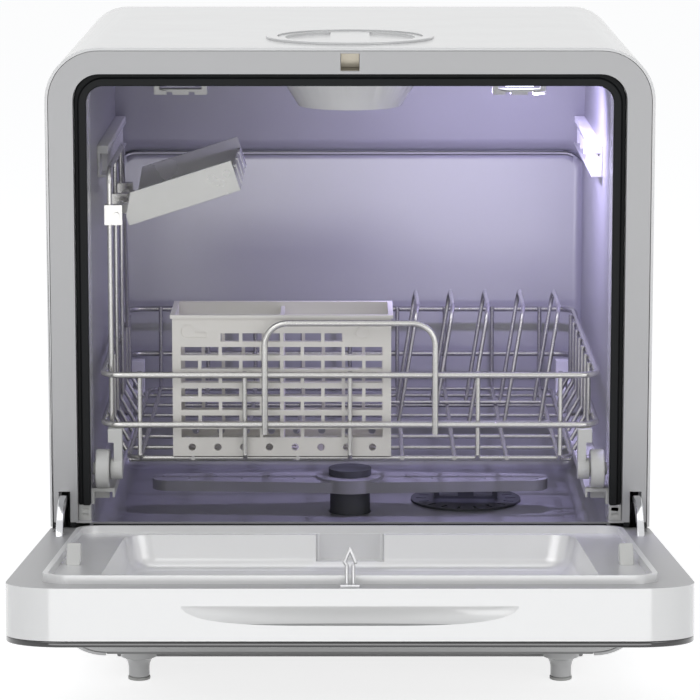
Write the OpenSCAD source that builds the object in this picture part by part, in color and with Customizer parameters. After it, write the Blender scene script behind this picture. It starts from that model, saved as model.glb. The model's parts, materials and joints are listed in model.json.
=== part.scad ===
// Countertop dishwasher with a drop-down door, a rolling rack, a cutlery basket and a folding cup shelf.
// Millimetres, +Z up, the front faces -Y. The origin lies on the worktop, in the middle of the box
// round the machine with its door open, which is the pose that is drawn.

/* [Cabinet] */
// Width over the outer shell
cabinet_w = 420; // [400:1:460]
// Depth from the front edge of the shell to its back edge
cabinet_d = 390; // [385:1:420]
// Height of the top above the worktop
cabinet_top = 455; // [450:1:480]
// Height of the shell's lower edge above the worktop
shell_base = 26; // [22:1:34]
// Radius of the shell's four corners in front view
shell_corner = 37; // [30:1:42]
// Radius of the shell's top rear edge
shell_rear_r = 20; // [10:1:26]
// Thickness of the shell's wall
shell_wall = 2; // [1.5:0.1:2.5]
// Width of the flange that the shell turns in at the back
rear_flange = 14; // [10:1:18]

/* [Tub and seal] */
// Space between the tub and the outside of the shell, at each side
side_space = 28; // [28:1:34]
// Space between the tub's ceiling and the top of the shell
top_space = 25; // [25:1:32]
// Height of the tub's floor above the shell's lower edge
floor_rise = 66; // [64:1:70]
// Space between the tub's back wall and the back of the shell, for the water tank
rear_space = 58; // [57:1:64]
// Thickness of the tub's wall
tub_wall = 1.8; // [1.2:0.1:2.4]
// Radius of the tub's corners in front view
tub_corner = 14; // [8:1:20]
// Height of the air duct that bulges from the top of the back wall
duct_h = 85; // [60:1:90]
// How far the air duct stands forward at the ceiling
duct_bulge = 32; // [16:1:36]
// Visible width of the black seal round the opening
seal_w = 8.5; // [7:0.5:9]
// Depth of the seal's face behind the front edge
seal_recess = 5.6; // [5.6:0.1:7]

/* [Door] */
// Height of the hinge axis above the shell's lower edge
pivot_rise = 79; // [76:1:82]
// Distance of the hinge axis in front of the shell's edge
pivot_out = 15; // [14:0.5:16]
// Angle between the closed door and the open door
open_angle = 83; // [75:1:86]
// Thickness of the whole door
door_t = 36; // [34:1:40]
// Thickness of the black outer panel
panel_t = 3.8; // [3:0.1:5]
// Length of the door below its hinge axis
heel = 20; // [18:1:21]
// Gap between the closed door and the shell's edge
door_gap = 0.4; // [0.3:0.1:1]
// Height of the raised rim on the liner
rim_h = 5.3; // [4:0.1:5.4]
// Depth of the basin pressed into the liner
basin_h = 24; // [16:1:25]
// Width of the grip scooped into the door's top edge
grip_w = 201; // [120:1:240]
// Radius of the quarter-round grip scooped into the door's top edge
grip_h = 11.8; // [8:0.1:14]
// Diameter of the hinge pin
pin_d = 6; // [5:0.5:7]
// Radial running clearance of every pin
pin_clear = 0.05; // [0.02:0.01:0.09]
// Radius of the curved hinge arm's centre line
arm_r = 36; // [35:0.5:37]
// Thickness of the hinge arm across its curve
arm_t = 6; // [4:0.5:7]

/* [Rack] */
// Space between the rack's back rail and the tub's back wall
rack_rear_gap = 20; // [16:1:24]
// Length of the rack that stays in the tub when it is rolled out
rack_stay = 70; // [68:1:100]
// Distance from the shell's front edge to the rack's front rail when it is in
rack_in = 20; // [18:1:24]
// Space between a side rail's centre line and the tub's side
rack_side_gap = 8; // [7.4:0.1:12]
// Diameter of the rails' wire
rail_wire = 4.4; // [3.6:0.1:5]
// Diameter of the other wires
wire = 3.2; // [2.6:0.1:3.6]
// Height of the lower rail above the wheel track
low_rail = 45; // [42:1:50]
// Height of the top rail above the wheel track
top_rail = 80.5; // [70:0.5:90]
// Height of the rack's floor wires above the wheel track
rack_floor_h = 19; // [17:0.5:22]
// Diameter of a wheel
wheel_d = 27.4; // [24:0.2:28]
// Width of a wheel's tread
wheel_w = 9.6; // [8:0.2:10]
// Height of the tall uprights above the wheel track
upright_h = 224; // [205:1:230]
// Number of plate tines
tine_count = 5; // [4:1:5]
// Distance between plate tines
tine_pitch = 26; // [22:1:27]

/* [Baskets] */
// Width of the cutlery basket
basket_w = 154; // [120:1:160]
// Depth of the cutlery basket
basket_d = 62; // [50:1:68]
// Height of the cutlery basket
basket_h = 101; // [90:1:104]
// Tilt of the cup shelf
shelf_tilt = 17.7; // [12:0.1:20]
// Width of the cup shelf from its hinge to its edge
shelf_w = 88; // [76:1:90]
// Length of the cup shelf along the rack
shelf_len = 150; // [130:1:160]
// Height of the cup shelf's end walls
shelf_h = 22; // [16:1:23]

/* [Washing parts] */
// Space between the turning spray arm and the tub's front and back walls
arm_room = 18; // [16:1:30]
// Number of spray holes in each half of the spray arm
nozzle_count = 6; // [3:1:8]
// Diameter of the round filler cap's collar
cap_d = 119; // [100:1:126]
// Radius of the filter basket
filter_r = 27; // [20:1:30]
// Diameter of the feet where they meet the worktop
foot_d = 15; // [12:0.5:20]
// Diameter of the feet where they meet the base
foot_top_d = 26; // [22:0.5:30]
// Outside diameter of the inlet's pipe thread
inlet_d = 26.4; // [20:0.1:27]
// Outside diameter of the drain spigot
spigot_d = 18; // [14:0.5:22]

/* [Hidden] */
$fn = 64;
// A cut runs this far past the face that it opens
over = 1;
// Space between bodies that must not touch
gap = 0.3;
// Diameter of the ball at a wire's bend over the wire's own
bend_swell = 1.06;

// The cabinet, measured from the shell's front edge
half_w = cabinet_w / 2;
shell_in = half_w - shell_wall;
pivot_z = shell_base + pivot_rise;
sill_z = pivot_z + 13;
tub_half = half_w - side_space;
tub_top = cabinet_top - top_space;
tub_floor = shell_base + floor_rise;
tub_depth = cabinet_d - rear_space;
// The front wall of the tub stands behind the circle that the door's heel sweeps
sill_y = 14;
flange_y = 12;
base_t = 4;
plinth_top = shell_base + 47;
plinth_t = 2.5;
notch_top = sill_z + 1;
frame_fit = 0.3;
frame_t = 2.5;
frame_y = 0.5;
frame_bottom = sill_z + 4;
slot_top = frame_bottom + 22;
arm_x = half_w - 10;
arm_w = 5;
slot_w = 8;
seal_half = tub_half + seal_w;
seal_top = tub_top + 6.5;
rear_panel_t = 1.4;
rear_y = cabinet_d - shell_wall - rear_panel_t;
rear_hole_r = shell_corner - rear_flange;
bottom_half = half_w - shell_corner - 0.7;
rear_screw_d = 3.2;

// The door, drawn closed and swung about its hinge axis
face_y = -door_gap;
door_out = -door_t;
frame_back = door_out + panel_t;
door_bottom = pivot_z - heel;
door_corner = shell_corner;
ear_t = 3;
ear_x = arm_x + arm_w / 2 + 0.7;
ear_r = 8;
// The scoop follows a large circle, so that it runs out at both ends
grip_r = (grip_w * grip_w / 4 + grip_h * grip_h) / (2 * grip_h);
grip_y = -11;
rim_half = tub_half + 6;
rim_top = tub_top + 1;
rim_bottom = pivot_z + 18;
rim_w = 3.5;
rim_corner = 18;
rib_gap = 0.1;
basin_half = tub_half - 24;
basin_top = tub_top - 10;
basin_bottom = pivot_z + 30;
basin_slope = 8;
basin_corner = 18;
liner_t = 2;
pocket_half = 23.5;
stop_w = 9;
stop_h = 13;
stop_gap = 1.7;
latch_z = cabinet_top - 10;
latch_half = 6.5;
open_reach = pivot_out + (cabinet_top - pivot_z) * sin(open_angle)
             + (door_t - pivot_out) * cos(open_angle);

// The rack, drawn pushed in
track_z = sill_z + 25;
track_t = 3.2;
rack_half = tub_half - rack_side_gap;
rack_back = tub_depth - rack_rear_gap;
rack_len = rack_back - rack_in;
rack_travel = rack_len - rack_stay;
rack_low_z = track_z + low_rail;
rack_top_z = track_z + top_rail;
rack_floor_z = track_z + rack_floor_h;
rack_corner = 14;
floor_half = rack_half - 17;
post_x = rack_half - 26;
front_post_x = [-post_x, -post_x / 2, 0, post_x - 58, post_x];
wire_in = (rail_wire + wire) / 2;
axle_z = track_z + wheel_d / 2;
wheel_x = rack_half;
axle_d = 6;
wheel_front_y = rack_in;
wheel_rear_y = rack_back - 16;
upright_x = -rack_half + 5.5;
upright_d = 3.6;
upright_z = track_z + upright_h;
upright_y = [for (step = [16, 78, 140]) rack_in + step];
handle_half = 59.8;
handle_top = rack_top_z + 37.5;
handle_r = 16;

// The stop blocks on the open door stand just past where the front wheels end their way
stop_x = rack_half + 2;
stop_reach = (rack_travel - rack_in - pivot_out) * sin(open_angle) + (axle_z - pivot_z) * cos(open_angle);
stop_z = pivot_z + stop_reach + wheel_d / 2 + stop_gap;

// The baskets
basket_x = -rack_half + 49;
basket_y = rack_in + 8;
basket_z = rack_floor_z + wire / 2 + gap;
basket_wall = 2.2;
shelf_pivot_x = upright_x + 5;
shelf_pivot_z = upright_z - 32;
shelf_pin_d = 4;
shelf_y = rack_in + 14;
shelf_wall = 2.2;

// The washing parts
arm_len = tub_depth - 2 * arm_room;
hub_y = tub_depth / 2 + 8;
hub_d = 20;
spray_z = tub_floor + 18;
spray_t = 10;
spray_root = 22;
spray_tip = 13;
sump_x = half_w - 122;
sump_y = tub_depth - 118;
sump_r = 42;
cap_y = 83;
foot_x = half_w - 59;
foot_front_y = 35;
foot_rear_y = cabinet_d - 40;
pad_t = 2;
inlet_x = -half_w + 70;
inlet_z = shell_base + 64;
drain_x = -half_w + 122;
drain_z = shell_base + 32;
gland_x = half_w - 70;
gland_d = 8;
collar_y = rear_y + rear_panel_t + 0.6;
vent_z = cabinet_top - 205;
// The drain spigot stands furthest out at the back
spigot_out = 22;
overall_back = cabinet_d + spigot_out - 2;
front_y = (open_reach - overall_back) / 2;

// ---- Placing and shared shapes ----

// Everything is drawn from the shell's front edge and moved back to the origin here.
module from_front() translate([0, front_y, 0]) children();

// Swings what is drawn on the closed door to the open door.
module on_door()
    from_front()
        translate([0, -pivot_out, pivot_z])
            rotate([open_angle, 0, 0])
                translate([0, pivot_out, -pivot_z])
                    children();

module both_sides() {
    children();
    mirror([1, 0, 0]) children();
}

// Stands a flat shape drawn in X and Z between two depths.
module along_y(y0, y1)
    translate([0, y1, 0]) rotate([90, 0, 0]) linear_extrude(y1 - y0) children();

// Stands a flat shape drawn in Y and Z between two places across the machine.
module along_x(x0, x1)
    translate([x0, 0, 0]) rotate([90, 0, 90]) linear_extrude(x1 - x0) children();

module rounded(x0, x1, z0, z1, r) {
    translate([x0 + r, z0]) square([x1 - x0 - 2 * r, z1 - z0]);
    translate([x0, z0 + r]) square([x1 - x0, z1 - z0 - 2 * r]);
    for (x = [x0 + r, x1 - r], z = [z0 + r, z1 - r])
        translate([x, z]) circle(r);
}

// A flat outline with square corners below and round corners above.
module arched(half, z0, z1, r) {
    translate([-half, z0]) square([2 * half, z1 - z0 - r]);
    translate([-half + r, z0]) square([2 * (half - r), z1 - z0]);
    for (x = [-half + r, half - r])
        translate([x, z1 - r]) circle(r);
}

module box(x0, x1, y0, y1, z0, z1)
    translate([x0, y0, z0]) cube([x1 - x0, y1 - y0, z1 - z0]);

module rod_x(x0, x1, y, z, d)
    translate([x0, y, z]) rotate([0, 90, 0]) cylinder(h = x1 - x0, d = d);

module rod_y(x, y0, y1, z, d)
    translate([x, y1, z]) rotate([90, 0, 0]) cylinder(h = y1 - y0, d = d);

module rod_z(x, y, z0, z1, d)
    translate([x, y, z0]) cylinder(h = z1 - z0, d = d);

module wire_between(p, q, d) {
    run = q - p;
    length = norm(run);
    translate(p)
        rotate([0, acos(run[2] / length), atan2(run[1], run[0])])
            cylinder(h = length, d = d);
}

// A bent wire with a slightly swollen ball at each bend.
module wire_path(points, d) {
    for (i = [1 : len(points) - 1])
        wire_between(points[i - 1], points[i], d);
    for (i = [1 : 1 : len(points) - 2])
        translate(points[i]) sphere(d = d * bend_swell);
}

// A bend of wire about the Z axis, from +X towards +Y.
module wire_bend(r, d, angle = 90)
    rotate_extrude(angle = angle) translate([r, 0]) circle(d = d);

// The same bend standing in the Y and Z plane, from one angle above +Y to another.
module side_bend(x, y, z, r, d, from, to)
    translate([x, y, z]) rotate([90, 0, 90]) rotate(from) wire_bend(r, d, to - from);

// A closed loop of wire lying flat, with round corners.
module wire_loop(half, y0, y1, z, r, d) {
    for (y = [y0, y1])
        rod_x(-half + r, half - r, y, z, d);
    for (x = [-half, half])
        rod_y(x, y0 + r, y1 - r, z, d);
    translate([half - r, y1 - r, z]) wire_bend(r, d);
    translate([-half + r, y1 - r, z]) rotate(90) wire_bend(r, d);
    translate([-half + r, y0 + r, z]) rotate(180) wire_bend(r, d);
    translate([half - r, y0 + r, z]) rotate(270) wire_bend(r, d);
}

// An upside-down U of wire in the X and Z plane.
module wire_arch(x0, x1, y, z0, z1, r, d) {
    for (x = [x0, x1])
        rod_z(x, y, z0, z1 - r, d);
    rod_x(x0 + r, x1 - r, y, z1, d);
    translate([x1 - r, y, z1 - r]) rotate([90, 0, 0]) wire_bend(r, d);
    translate([x0 + r, y, z1 - r]) rotate([90, 0, 0]) rotate(90) wire_bend(r, d);
}

// ---- Cabinet ----

// The cabinet's block from one depth to the back, drawn smaller all round by an inset.
module shell_block(inset, start)
    intersection() {
        along_y(start, cabinet_d - inset)
            rounded(-half_w + inset, half_w - inset, shell_base + inset, cabinet_top - inset,
                    shell_corner - inset);
        along_x(-half_w, half_w)
            side_outline(inset, start);
    }

module side_outline(inset, start) {
    r = shell_rear_r - inset;
    y1 = cabinet_d - inset;
    z1 = cabinet_top - inset;
    translate([start, shell_base]) square([y1 - start, z1 - r - shell_base]);
    translate([start, shell_base]) square([y1 - r - start, z1 - shell_base]);
    translate([y1 - r, z1 - r]) circle(r);
}

module rear_screw_places()
    for (x = [-1, 1] * (half_w - 7), z = [inlet_z, (shell_base + cabinet_top) / 2, cabinet_top - 65])
        translate([x, 0, z]) children();

module outer_shell()
    color("#e3e3e3")
        from_front()
            difference() {
                shell_block(0, 0);
                shell_block(shell_wall, -over);
                along_y(cabinet_d / 2, cabinet_d + over)
                    rounded(-half_w + rear_flange, half_w - rear_flange, shell_base + rear_flange,
                            cabinet_top - shell_rear_r - rear_flange, rear_hole_r);
                box(-bottom_half, bottom_half, -over, cabinet_d + over, shell_base - over,
                    shell_base + rear_flange);
                both_sides()
                    box(shell_in - over, half_w + over, -over, sill_y - over, plinth_top + gap, notch_top);
                translate([0, cap_y, cabinet_top - 5]) cylinder(h = 10, d = cap_d - 8);
                rear_screw_places()
                    rod_y(0, cabinet_d - 6, cabinet_d + over, 0, rear_screw_d + 0.2);
            }

module frame_outline()
    rounded(-shell_in + frame_fit, shell_in - frame_fit, shell_base + shell_wall + frame_fit,
            cabinet_top - shell_wall - frame_fit, shell_corner - shell_wall - frame_fit);

module front_frame()
    color("#bcbcbc")
        from_front()
            difference() {
                union() {
                    along_y(frame_y, frame_y + frame_t) frame_outline();
                    along_y(frame_y, flange_y - gap)
                        arched(seal_half + 1.6, frame_bottom, seal_top + 1.6, 19.6);
                }
                along_y(-over, sill_y) arched(seal_half + frame_fit, 0, seal_top + frame_fit, 18.3);
                box(-half_w, half_w, -over, sill_y, 0, frame_bottom);
                both_sides()
                    box(arm_x - slot_w / 2, arm_x + slot_w / 2, -over, sill_y, frame_bottom - over, slot_top);
                box(-latch_half, latch_half, -over, sill_y, latch_z - 6, latch_z + 6);
            }

module plinth()
    color("#dcdcdc")
        from_front()
            difference() {
                along_y(frame_y, frame_y + plinth_t) frame_outline();
                box(-half_w, half_w, -over, sill_y, plinth_top, cabinet_top);
            }

module base_tray()
    color("#c4c4c4")
        from_front()
            difference() {
                union() {
                    box(-bottom_half + gap, bottom_half - gap, 4, cabinet_d - 5, shell_base,
                        shell_base + base_t);
                    for (y = [5, cabinet_d - 20])
                        box(-bottom_half + gap, bottom_half - gap, y, y + 3, shell_base, shell_base + 14);
                }
                for (x = [-1, 0, 1] * bottom_half / 2, y = [60 : 40 : 180])
                    box(x - 12, x + 12, y, y + 6, shell_base - over, shell_base + base_t + over);
            }

module rear_vents()
    for (i = [0 : 11])
        box(half_w - 150, half_w - 80, rear_y - over, cabinet_d, vent_z + i * 10, vent_z + i * 10 + 4);

module rear_panel()
    color("#b4b6b8")
        from_front()
            difference() {
                along_y(rear_y, rear_y + rear_panel_t)
                    rounded(-shell_in + 1, shell_in - 1, shell_base + shell_wall + 1,
                            cabinet_top - shell_rear_r - 1, shell_corner - shell_wall - 1);
                rear_vents();
                rod_y(inlet_x, rear_y - over, cabinet_d, inlet_z, inlet_d + 5);
                rod_y(drain_x, rear_y - over, cabinet_d, drain_z, spigot_d + 5);
                rod_y(gland_x, rear_y - over, cabinet_d, inlet_z, gland_d + 8);
                rear_screw_places()
                    rod_y(0, rear_y - over, cabinet_d, 0, rear_screw_d + 0.2);
            }

module panel_screws()
    color("#9a9c9e")
        from_front()
            rear_screw_places() {
                rod_y(0, cabinet_d, cabinet_d + 1.8, 0, 7);
                rod_y(0, rear_y - 6, cabinet_d, 0, rear_screw_d);
            }

module foot_places()
    for (x = [-foot_x, foot_x], y = [foot_front_y, foot_rear_y])
        translate([x, y, 0]) children();

// A slim foot that flares in a quarter round where it meets the base.
module foot_profile() {
    flare = (foot_top_d - foot_d) / 2;
    difference() {
        translate([0, pad_t]) square([foot_top_d / 2, shell_base - pad_t]);
        translate([foot_d / 2, 0]) square([foot_top_d, shell_base - 3 - flare]);
        translate([foot_top_d / 2, shell_base - 3 - flare]) circle(flare);
    }
}

module feet()
    color("#d6d6d6")
        from_front()
            foot_places()
                rotate_extrude() foot_profile();

module foot_pads()
    color("#4a4c4e")
        from_front()
            foot_places()
                cylinder(h = pad_t, d = foot_d + 1);

module leak_pan()
    color("#5c5e60")
        from_front()
            difference() {
                box(-half_w + 42, half_w - 42, foot_front_y + 18, foot_rear_y - 16, shell_base - 15,
                    shell_base);
                box(-half_w + 45, half_w - 45, foot_front_y + 21, foot_rear_y - 19, shell_base - 12,
                    shell_base + over);
            }

// ---- Tub ----

function tub_side(grow) = [
    [flange_y - (1 - grow) * over, sill_z + 1],
    [sill_y + (1 - grow) * tub_wall, sill_z + 1],
    [sill_y + (1 - grow) * tub_wall, shell_base],
    [tub_depth + grow * tub_wall, shell_base],
    [tub_depth + grow * tub_wall, tub_top - duct_h],
    [tub_depth - 10 + grow * tub_wall, tub_top - duct_h + 4],
    [tub_depth - duct_bulge + grow * tub_wall, tub_top + 10],
    [flange_y - (1 - grow) * over, tub_top + 10]];

module tub_block(grow)
    intersection() {
        along_y(0, cabinet_d)
            rounded(-tub_half - grow * tub_wall, tub_half + grow * tub_wall, tub_floor - grow * tub_wall,
                    tub_top + grow * tub_wall, tub_corner + grow * tub_wall);
        along_x(-half_w, half_w)
            polygon(tub_side(grow));
    }

module tub()
    color("#cfcfd6")
        from_front()
            difference() {
                union() {
                    tub_block(1);
                    along_y(flange_y, flange_y + tub_wall)
                        arched(tub_half + 12, frame_bottom, tub_top + 7.5, 21);
                }
                tub_block(0);
                along_y(0, sill_y + 3)
                    rounded(-tub_half, tub_half, sill_z + 1, tub_top, tub_corner);
                translate([sump_x, sump_y, tub_floor - 5]) cylinder(h = 10, r = sump_r);
                translate([0, hub_y, tub_floor - 5]) cylinder(h = 10, d = hub_d + 12);
                translate([0, cap_y, tub_top - 5]) cylinder(h = 10, d = cap_d - 18);
            }

module seal_outline(inner, outer, top_in, top_out)
    difference() {
        arched(outer, sill_z + 15, top_out, 18);
        arched(inner, 0, top_in, 12);
    }

module door_gasket()
    color("#2b2d30")
        from_front() {
            along_y(seal_recess + 2.4, flange_y)
                seal_outline(tub_half, seal_half, tub_top - 2, seal_top);
            along_y(seal_recess, seal_recess + 2.4)
                seal_outline(tub_half, seal_half - 3, tub_top - 2, seal_top - 3);
        }

module sill_seal()
    color("#2b2d30")
        from_front() {
            box(-tub_half + 1, tub_half - 1, sill_y - 2.6, sill_y, sill_z - 12, sill_z);
            rod_x(-tub_half + 1, tub_half - 1, sill_y - 1.4, sill_z - 1, 2.4);
            both_sides()
                difference() {
                    box(seal_half + 1.6, shell_in - 1, frame_y, frame_y + 3, frame_bottom - 3.4,
                        frame_bottom);
                    box(arm_x - slot_w / 2, arm_x + slot_w / 2, -over, sill_y, sill_z, frame_bottom + over);
                }
        }

module gasket_ends()
    color("#e6e6e4")
        from_front()
            both_sides()
                difference() {
                    box(tub_half + 0.2, seal_half, 8, flange_y, sill_z + 4, sill_z + 15);
                    for (z = [7, 11])
                        box(tub_half + 2, seal_half - 2, 7, 9.4, sill_z + z, sill_z + z + 1.6);
                }

// The rack's wheels roll on this ledge.
module track()
    union() {
        box(rack_half - 8, tub_half, sill_y + 5, tub_depth - 8, track_z - track_t, track_z - gap);
        box(rack_half - 8, rack_half - 6.4, sill_y + 5, tub_depth - 8, track_z - 7, track_z - gap);
        box(tub_half - 1.6, tub_half, sill_y + 5, tub_depth - 8, track_z - 12, track_z - gap);
        for (y = [sill_y + 12 : 56 : tub_depth - 24])
            box(rack_half - 4, tub_half, y, y + 2, track_z - 9, track_z - track_t + over);
    }

module track_right() color("#d8d8d4") from_front() track();

module track_left() color("#d8d8d4") from_front() mirror([1, 0, 0]) track();

rail_y1 = tub_depth - 15;
rail_y0 = rail_y1 - 207;

module upper_rail() {
    z0 = track_z + upright_h - 15;
    z1 = z0 + 19;
    box(tub_half - 1.8, tub_half, rail_y0, rail_y1, z0, z1);
    for (z = [z0, z1 - 2])
        box(tub_half - 8, tub_half, rail_y0, rail_y1, z, z + 2);
    for (y = [rail_y0 : 9 : rail_y1 - 3])
        box(tub_half - 8, tub_half, y, y + 2.4, z1 - over, z1 + 4);
    for (y = [rail_y0 + 18 : 36 : rail_y1 - 3])
        box(tub_half - 6, tub_half, y, y + 2, z0, z1);
}

module upper_rail_right() color("#e4e4e2") from_front() upper_rail();

module upper_rail_left() color("#e4e4e2") from_front() mirror([1, 0, 0]) upper_rail();

lamp_x = tub_half - 61;
lamp_y = cap_y + 17;
lamp_z = tub_top - 17;

module lamp_bracket()
    difference() {
        union() {
            box(lamp_x - 19, lamp_x + 19, lamp_y - 5, lamp_y + 5, lamp_z, tub_top);
            box(lamp_x - 19, lamp_x + 19, lamp_y - 9, lamp_y + 9, tub_top - 3, tub_top);
        }
        box(lamp_x - 15, lamp_x + 15, lamp_y - 6, lamp_y + 6, lamp_z + 4, tub_top - 4);
        for (x = [lamp_x - 8, lamp_x + 8])
            box(x - 2, x + 2, lamp_y - 6, lamp_y + 6, lamp_z - over, lamp_z + 2);
    }

module lamp_bracket_right() color("#dededc") from_front() lamp_bracket();

module lamp_bracket_left() color("#dededc") from_front() mirror([1, 0, 0]) lamp_bracket();

module lamp_lens()
    color("#e8ecff")
        from_front()
            both_sides() {
                box(lamp_x - 10, lamp_x + 10, lamp_y - 4, lamp_y + 4, lamp_z + 6, tub_top - 4);
                rod_y(lamp_x, lamp_y - 4.6, lamp_y + 4.6, (lamp_z + tub_top) / 2 + 1, 4);
            }

module latch_catch()
    color("#6c6e72")
        from_front()
            difference() {
                box(-14, 14, frame_y + frame_t, 27.2, latch_z - 6.7, cabinet_top - shell_wall - 0.5);
                box(-latch_half, latch_half, 0, 25.6, latch_z - 5.6, latch_z + 5.8);
            }

// ---- Filling ----

module fill_funnel()
    color("#e6e6e6")
        from_front()
            translate([0, cap_y, 0])
                difference() {
                    rotate_extrude()
                        polygon([
                            [0, tub_top - 23], [36.5, tub_top - 23], [(cap_d - 18) / 2 - gap, tub_top - 1.5],
                            [(cap_d - 18) / 2 - gap, cabinet_top - 6],
                            [(cap_d - 8) / 2 - gap, cabinet_top - 6],
                            [(cap_d - 8) / 2 - gap, cabinet_top], [cap_d / 2, cabinet_top],
                            [cap_d / 2, cabinet_top + 1.6], [(cap_d - 16) / 2, cabinet_top + 1.6],
                            [(cap_d - 16) / 2, cabinet_top - 4], [(cap_d - 26) / 2, cabinet_top - 4],
                            [(cap_d - 26) / 2, tub_top], [33, tub_top - 20], [0, tub_top - 20]]);
                    box(-16, 16, 30, cap_d / 2, tub_top + 5, tub_top + 12);
                }

module fill_cap()
    color("#ededed")
        from_front()
            translate([0, cap_y, cabinet_top]) {
                difference() {
                    translate([0, 0, -3.7]) cylinder(h = 4.2, d = cap_d - 17);
                    translate([0, 0, -1.2]) cylinder(h = 3, d = cap_d - 27);
                }
                box(-14, 14, -(cap_d - 27) / 2, (cap_d - 27) / 2, -2, 0.4);
                translate([0, 0, -9])
                    difference() {
                        cylinder(h = 6, d = cap_d - 27);
                        translate([0, 0, -over]) cylinder(h = 6, d = cap_d - 33);
                    }
            }

tank_x0 = -shell_in + 33;
tank_x1 = shell_in - 58;
tank_y0 = tub_depth + tub_wall + 3;
tank_y1 = rear_y - 12;
tank_z0 = shell_base + 44;
tank_z1 = tub_top - 28;
tank_wall = 2.5;
duct_half = 16;
duct_wall = 2;
duct_y0 = tank_y0 + 7;
duct_y1 = tank_y1 - 8.6;

// Carries the water from the funnel over the tub and down into the tank.
module fill_duct()
    color("#c2c4c4")
        from_front()
            difference() {
                union() {
                    box(-duct_half, duct_half, cap_y + (cap_d - 18) / 2, duct_y1, tub_top + 4, tub_top + 14);
                    box(-duct_half, duct_half, duct_y0, duct_y1, tank_z1, tub_top + 14);
                }
                box(-duct_half + duct_wall, duct_half - duct_wall, cap_y, duct_y1 - duct_wall,
                    tub_top + 6, tub_top + 12);
                box(-duct_half + duct_wall, duct_half - duct_wall, duct_y0 + duct_wall, duct_y1 - duct_wall,
                    tank_z1 - over, tub_top + 12);
            }

module water_tank()
    color("#dfe3e4")
        from_front()
            difference() {
                box(tank_x0, tank_x1, tank_y0, tank_y1, tank_z0, tank_z1);
                box(tank_x0 + tank_wall, tank_x1 - tank_wall, tank_y0 + tank_wall, tank_y1 - tank_wall,
                    tank_z0 + tank_wall, tank_z1 - tank_wall);
                box(-duct_half + duct_wall, duct_half - duct_wall, duct_y0 + duct_wall, duct_y1 - duct_wall,
                    tank_z1 - tank_wall - over, tank_z1 + over);
            }

// ---- Washing ----

module sump()
    color("#8c8e92")
        from_front()
            translate([sump_x, sump_y, 0])
                rotate_extrude()
                    polygon([
                        [0, 46], [34, 46], [sump_r + 4, 60], [sump_r + 4, tub_floor - 6],
                        [sump_r + 12, tub_floor - 6], [sump_r + 12, tub_floor - tub_wall],
                        [sump_r - 3, tub_floor - tub_wall], [sump_r - 3, 62], [32, 49], [0, 49]]);

module filter()
    color("#5e6064")
        from_front()
            translate([sump_x, sump_y, 0])
                difference() {
                    union() {
                        translate([0, 0, tub_floor - tub_wall + gap]) cylinder(h = 3, r = sump_r - gap);
                        translate([0, 0, 56]) cylinder(h = tub_floor - 55, r = filter_r);
                        box(-24, 24, -3, 3, tub_floor, tub_floor + 11);
                    }
                    translate([0, 0, 58.5]) cylinder(h = tub_floor - 58.5 - 2, r = filter_r - 2);
                    for (x = [-13, 13])
                        box(x - 7, x + 7, -4, 4, tub_floor + 3.4, tub_floor + 8);
                    for (a = [0 : 30 : 150])
                        rotate(a)
                            for (z = [64, 72, 80])
                                box(-filter_r - over, filter_r + over, -4, 4, z, z + 4);
                    for (a = [0 : 20 : 340])
                        rotate(a)
                            box(filter_r + 3, sump_r - 4, -1, 1, tub_floor - 5, tub_floor + 5);
                }

module spray_hub()
    color("#8c8e92")
        from_front()
            translate([0, hub_y, 0])
                difference() {
                    union() {
                        translate([0, 0, pump_z]) cylinder(h = spray_z + spray_t + 0.4 - pump_z, d = hub_d);
                        translate([0, 0, tub_floor - 14]) cylinder(h = 14 - tub_wall, d = hub_d + 20);
                        translate([0, 0, pump_z - 9]) cylinder(h = 18, d = hub_d - 4);
                        translate([0, 0, tub_floor - 2])
                            cylinder(h = spray_z - gap - tub_floor + 2, d = hub_d + 10);
                        translate([0, 0, spray_z + spray_t + gap]) cylinder(h = 5, d = hub_d + 12);
                    }
                    translate([0, 0, pump_z - 6]) cylinder(h = spray_z + 2 - pump_z + 6, d = hub_d - 8);
                    translate([0, 0, spray_z + 5]) rotate([90, 0, 0]) cylinder(h = 60, d = 5, center = true);
                }

module spray_blade() {
    reach = arm_len / 2 - spray_tip;
    polygon([[0, -spray_root], [reach, -spray_tip], [reach, spray_tip], [0, spray_root]]);
    translate([reach, 0]) circle(spray_tip);
}

module spray_arm()
    color("#a3a5a8")
        from_front()
            translate([0, hub_y, spray_z])
                difference() {
                    union() {
                        for (a = [0, 180])
                            rotate(a) linear_extrude(spray_t - 2) spray_blade();
                        cylinder(h = spray_t, r = spray_root + 3);
                    }
                    translate([0, 0, -over]) cylinder(h = spray_t + 2 * over, d = hub_d + 2 * pin_clear);
                    for (a = [0, 180], i = [1 : nozzle_count])
                        rotate(a)
                            translate([spray_root + i * (arm_len / 2 - spray_root - 8) / nozzle_count,
                                       (i % 2) * 8 - 4, 3])
                                cylinder(h = spray_t, d = 2.6);
                    for (a = [0, 180])
                        rotate(a)
                            box(spray_root + 6, arm_len / 2 - spray_tip, -5, 5, 1.5, spray_t - 3.6);
                }

pump_x0 = -half_w + 60;
pump_x1 = pump_x0 + 104;
pump_y = hub_y + 30;
pump_z = shell_base + 32;
heater_x0 = pump_x0 + 70;
heater_x1 = sump_x - 48;
heater_y = hub_y - 84;

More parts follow.
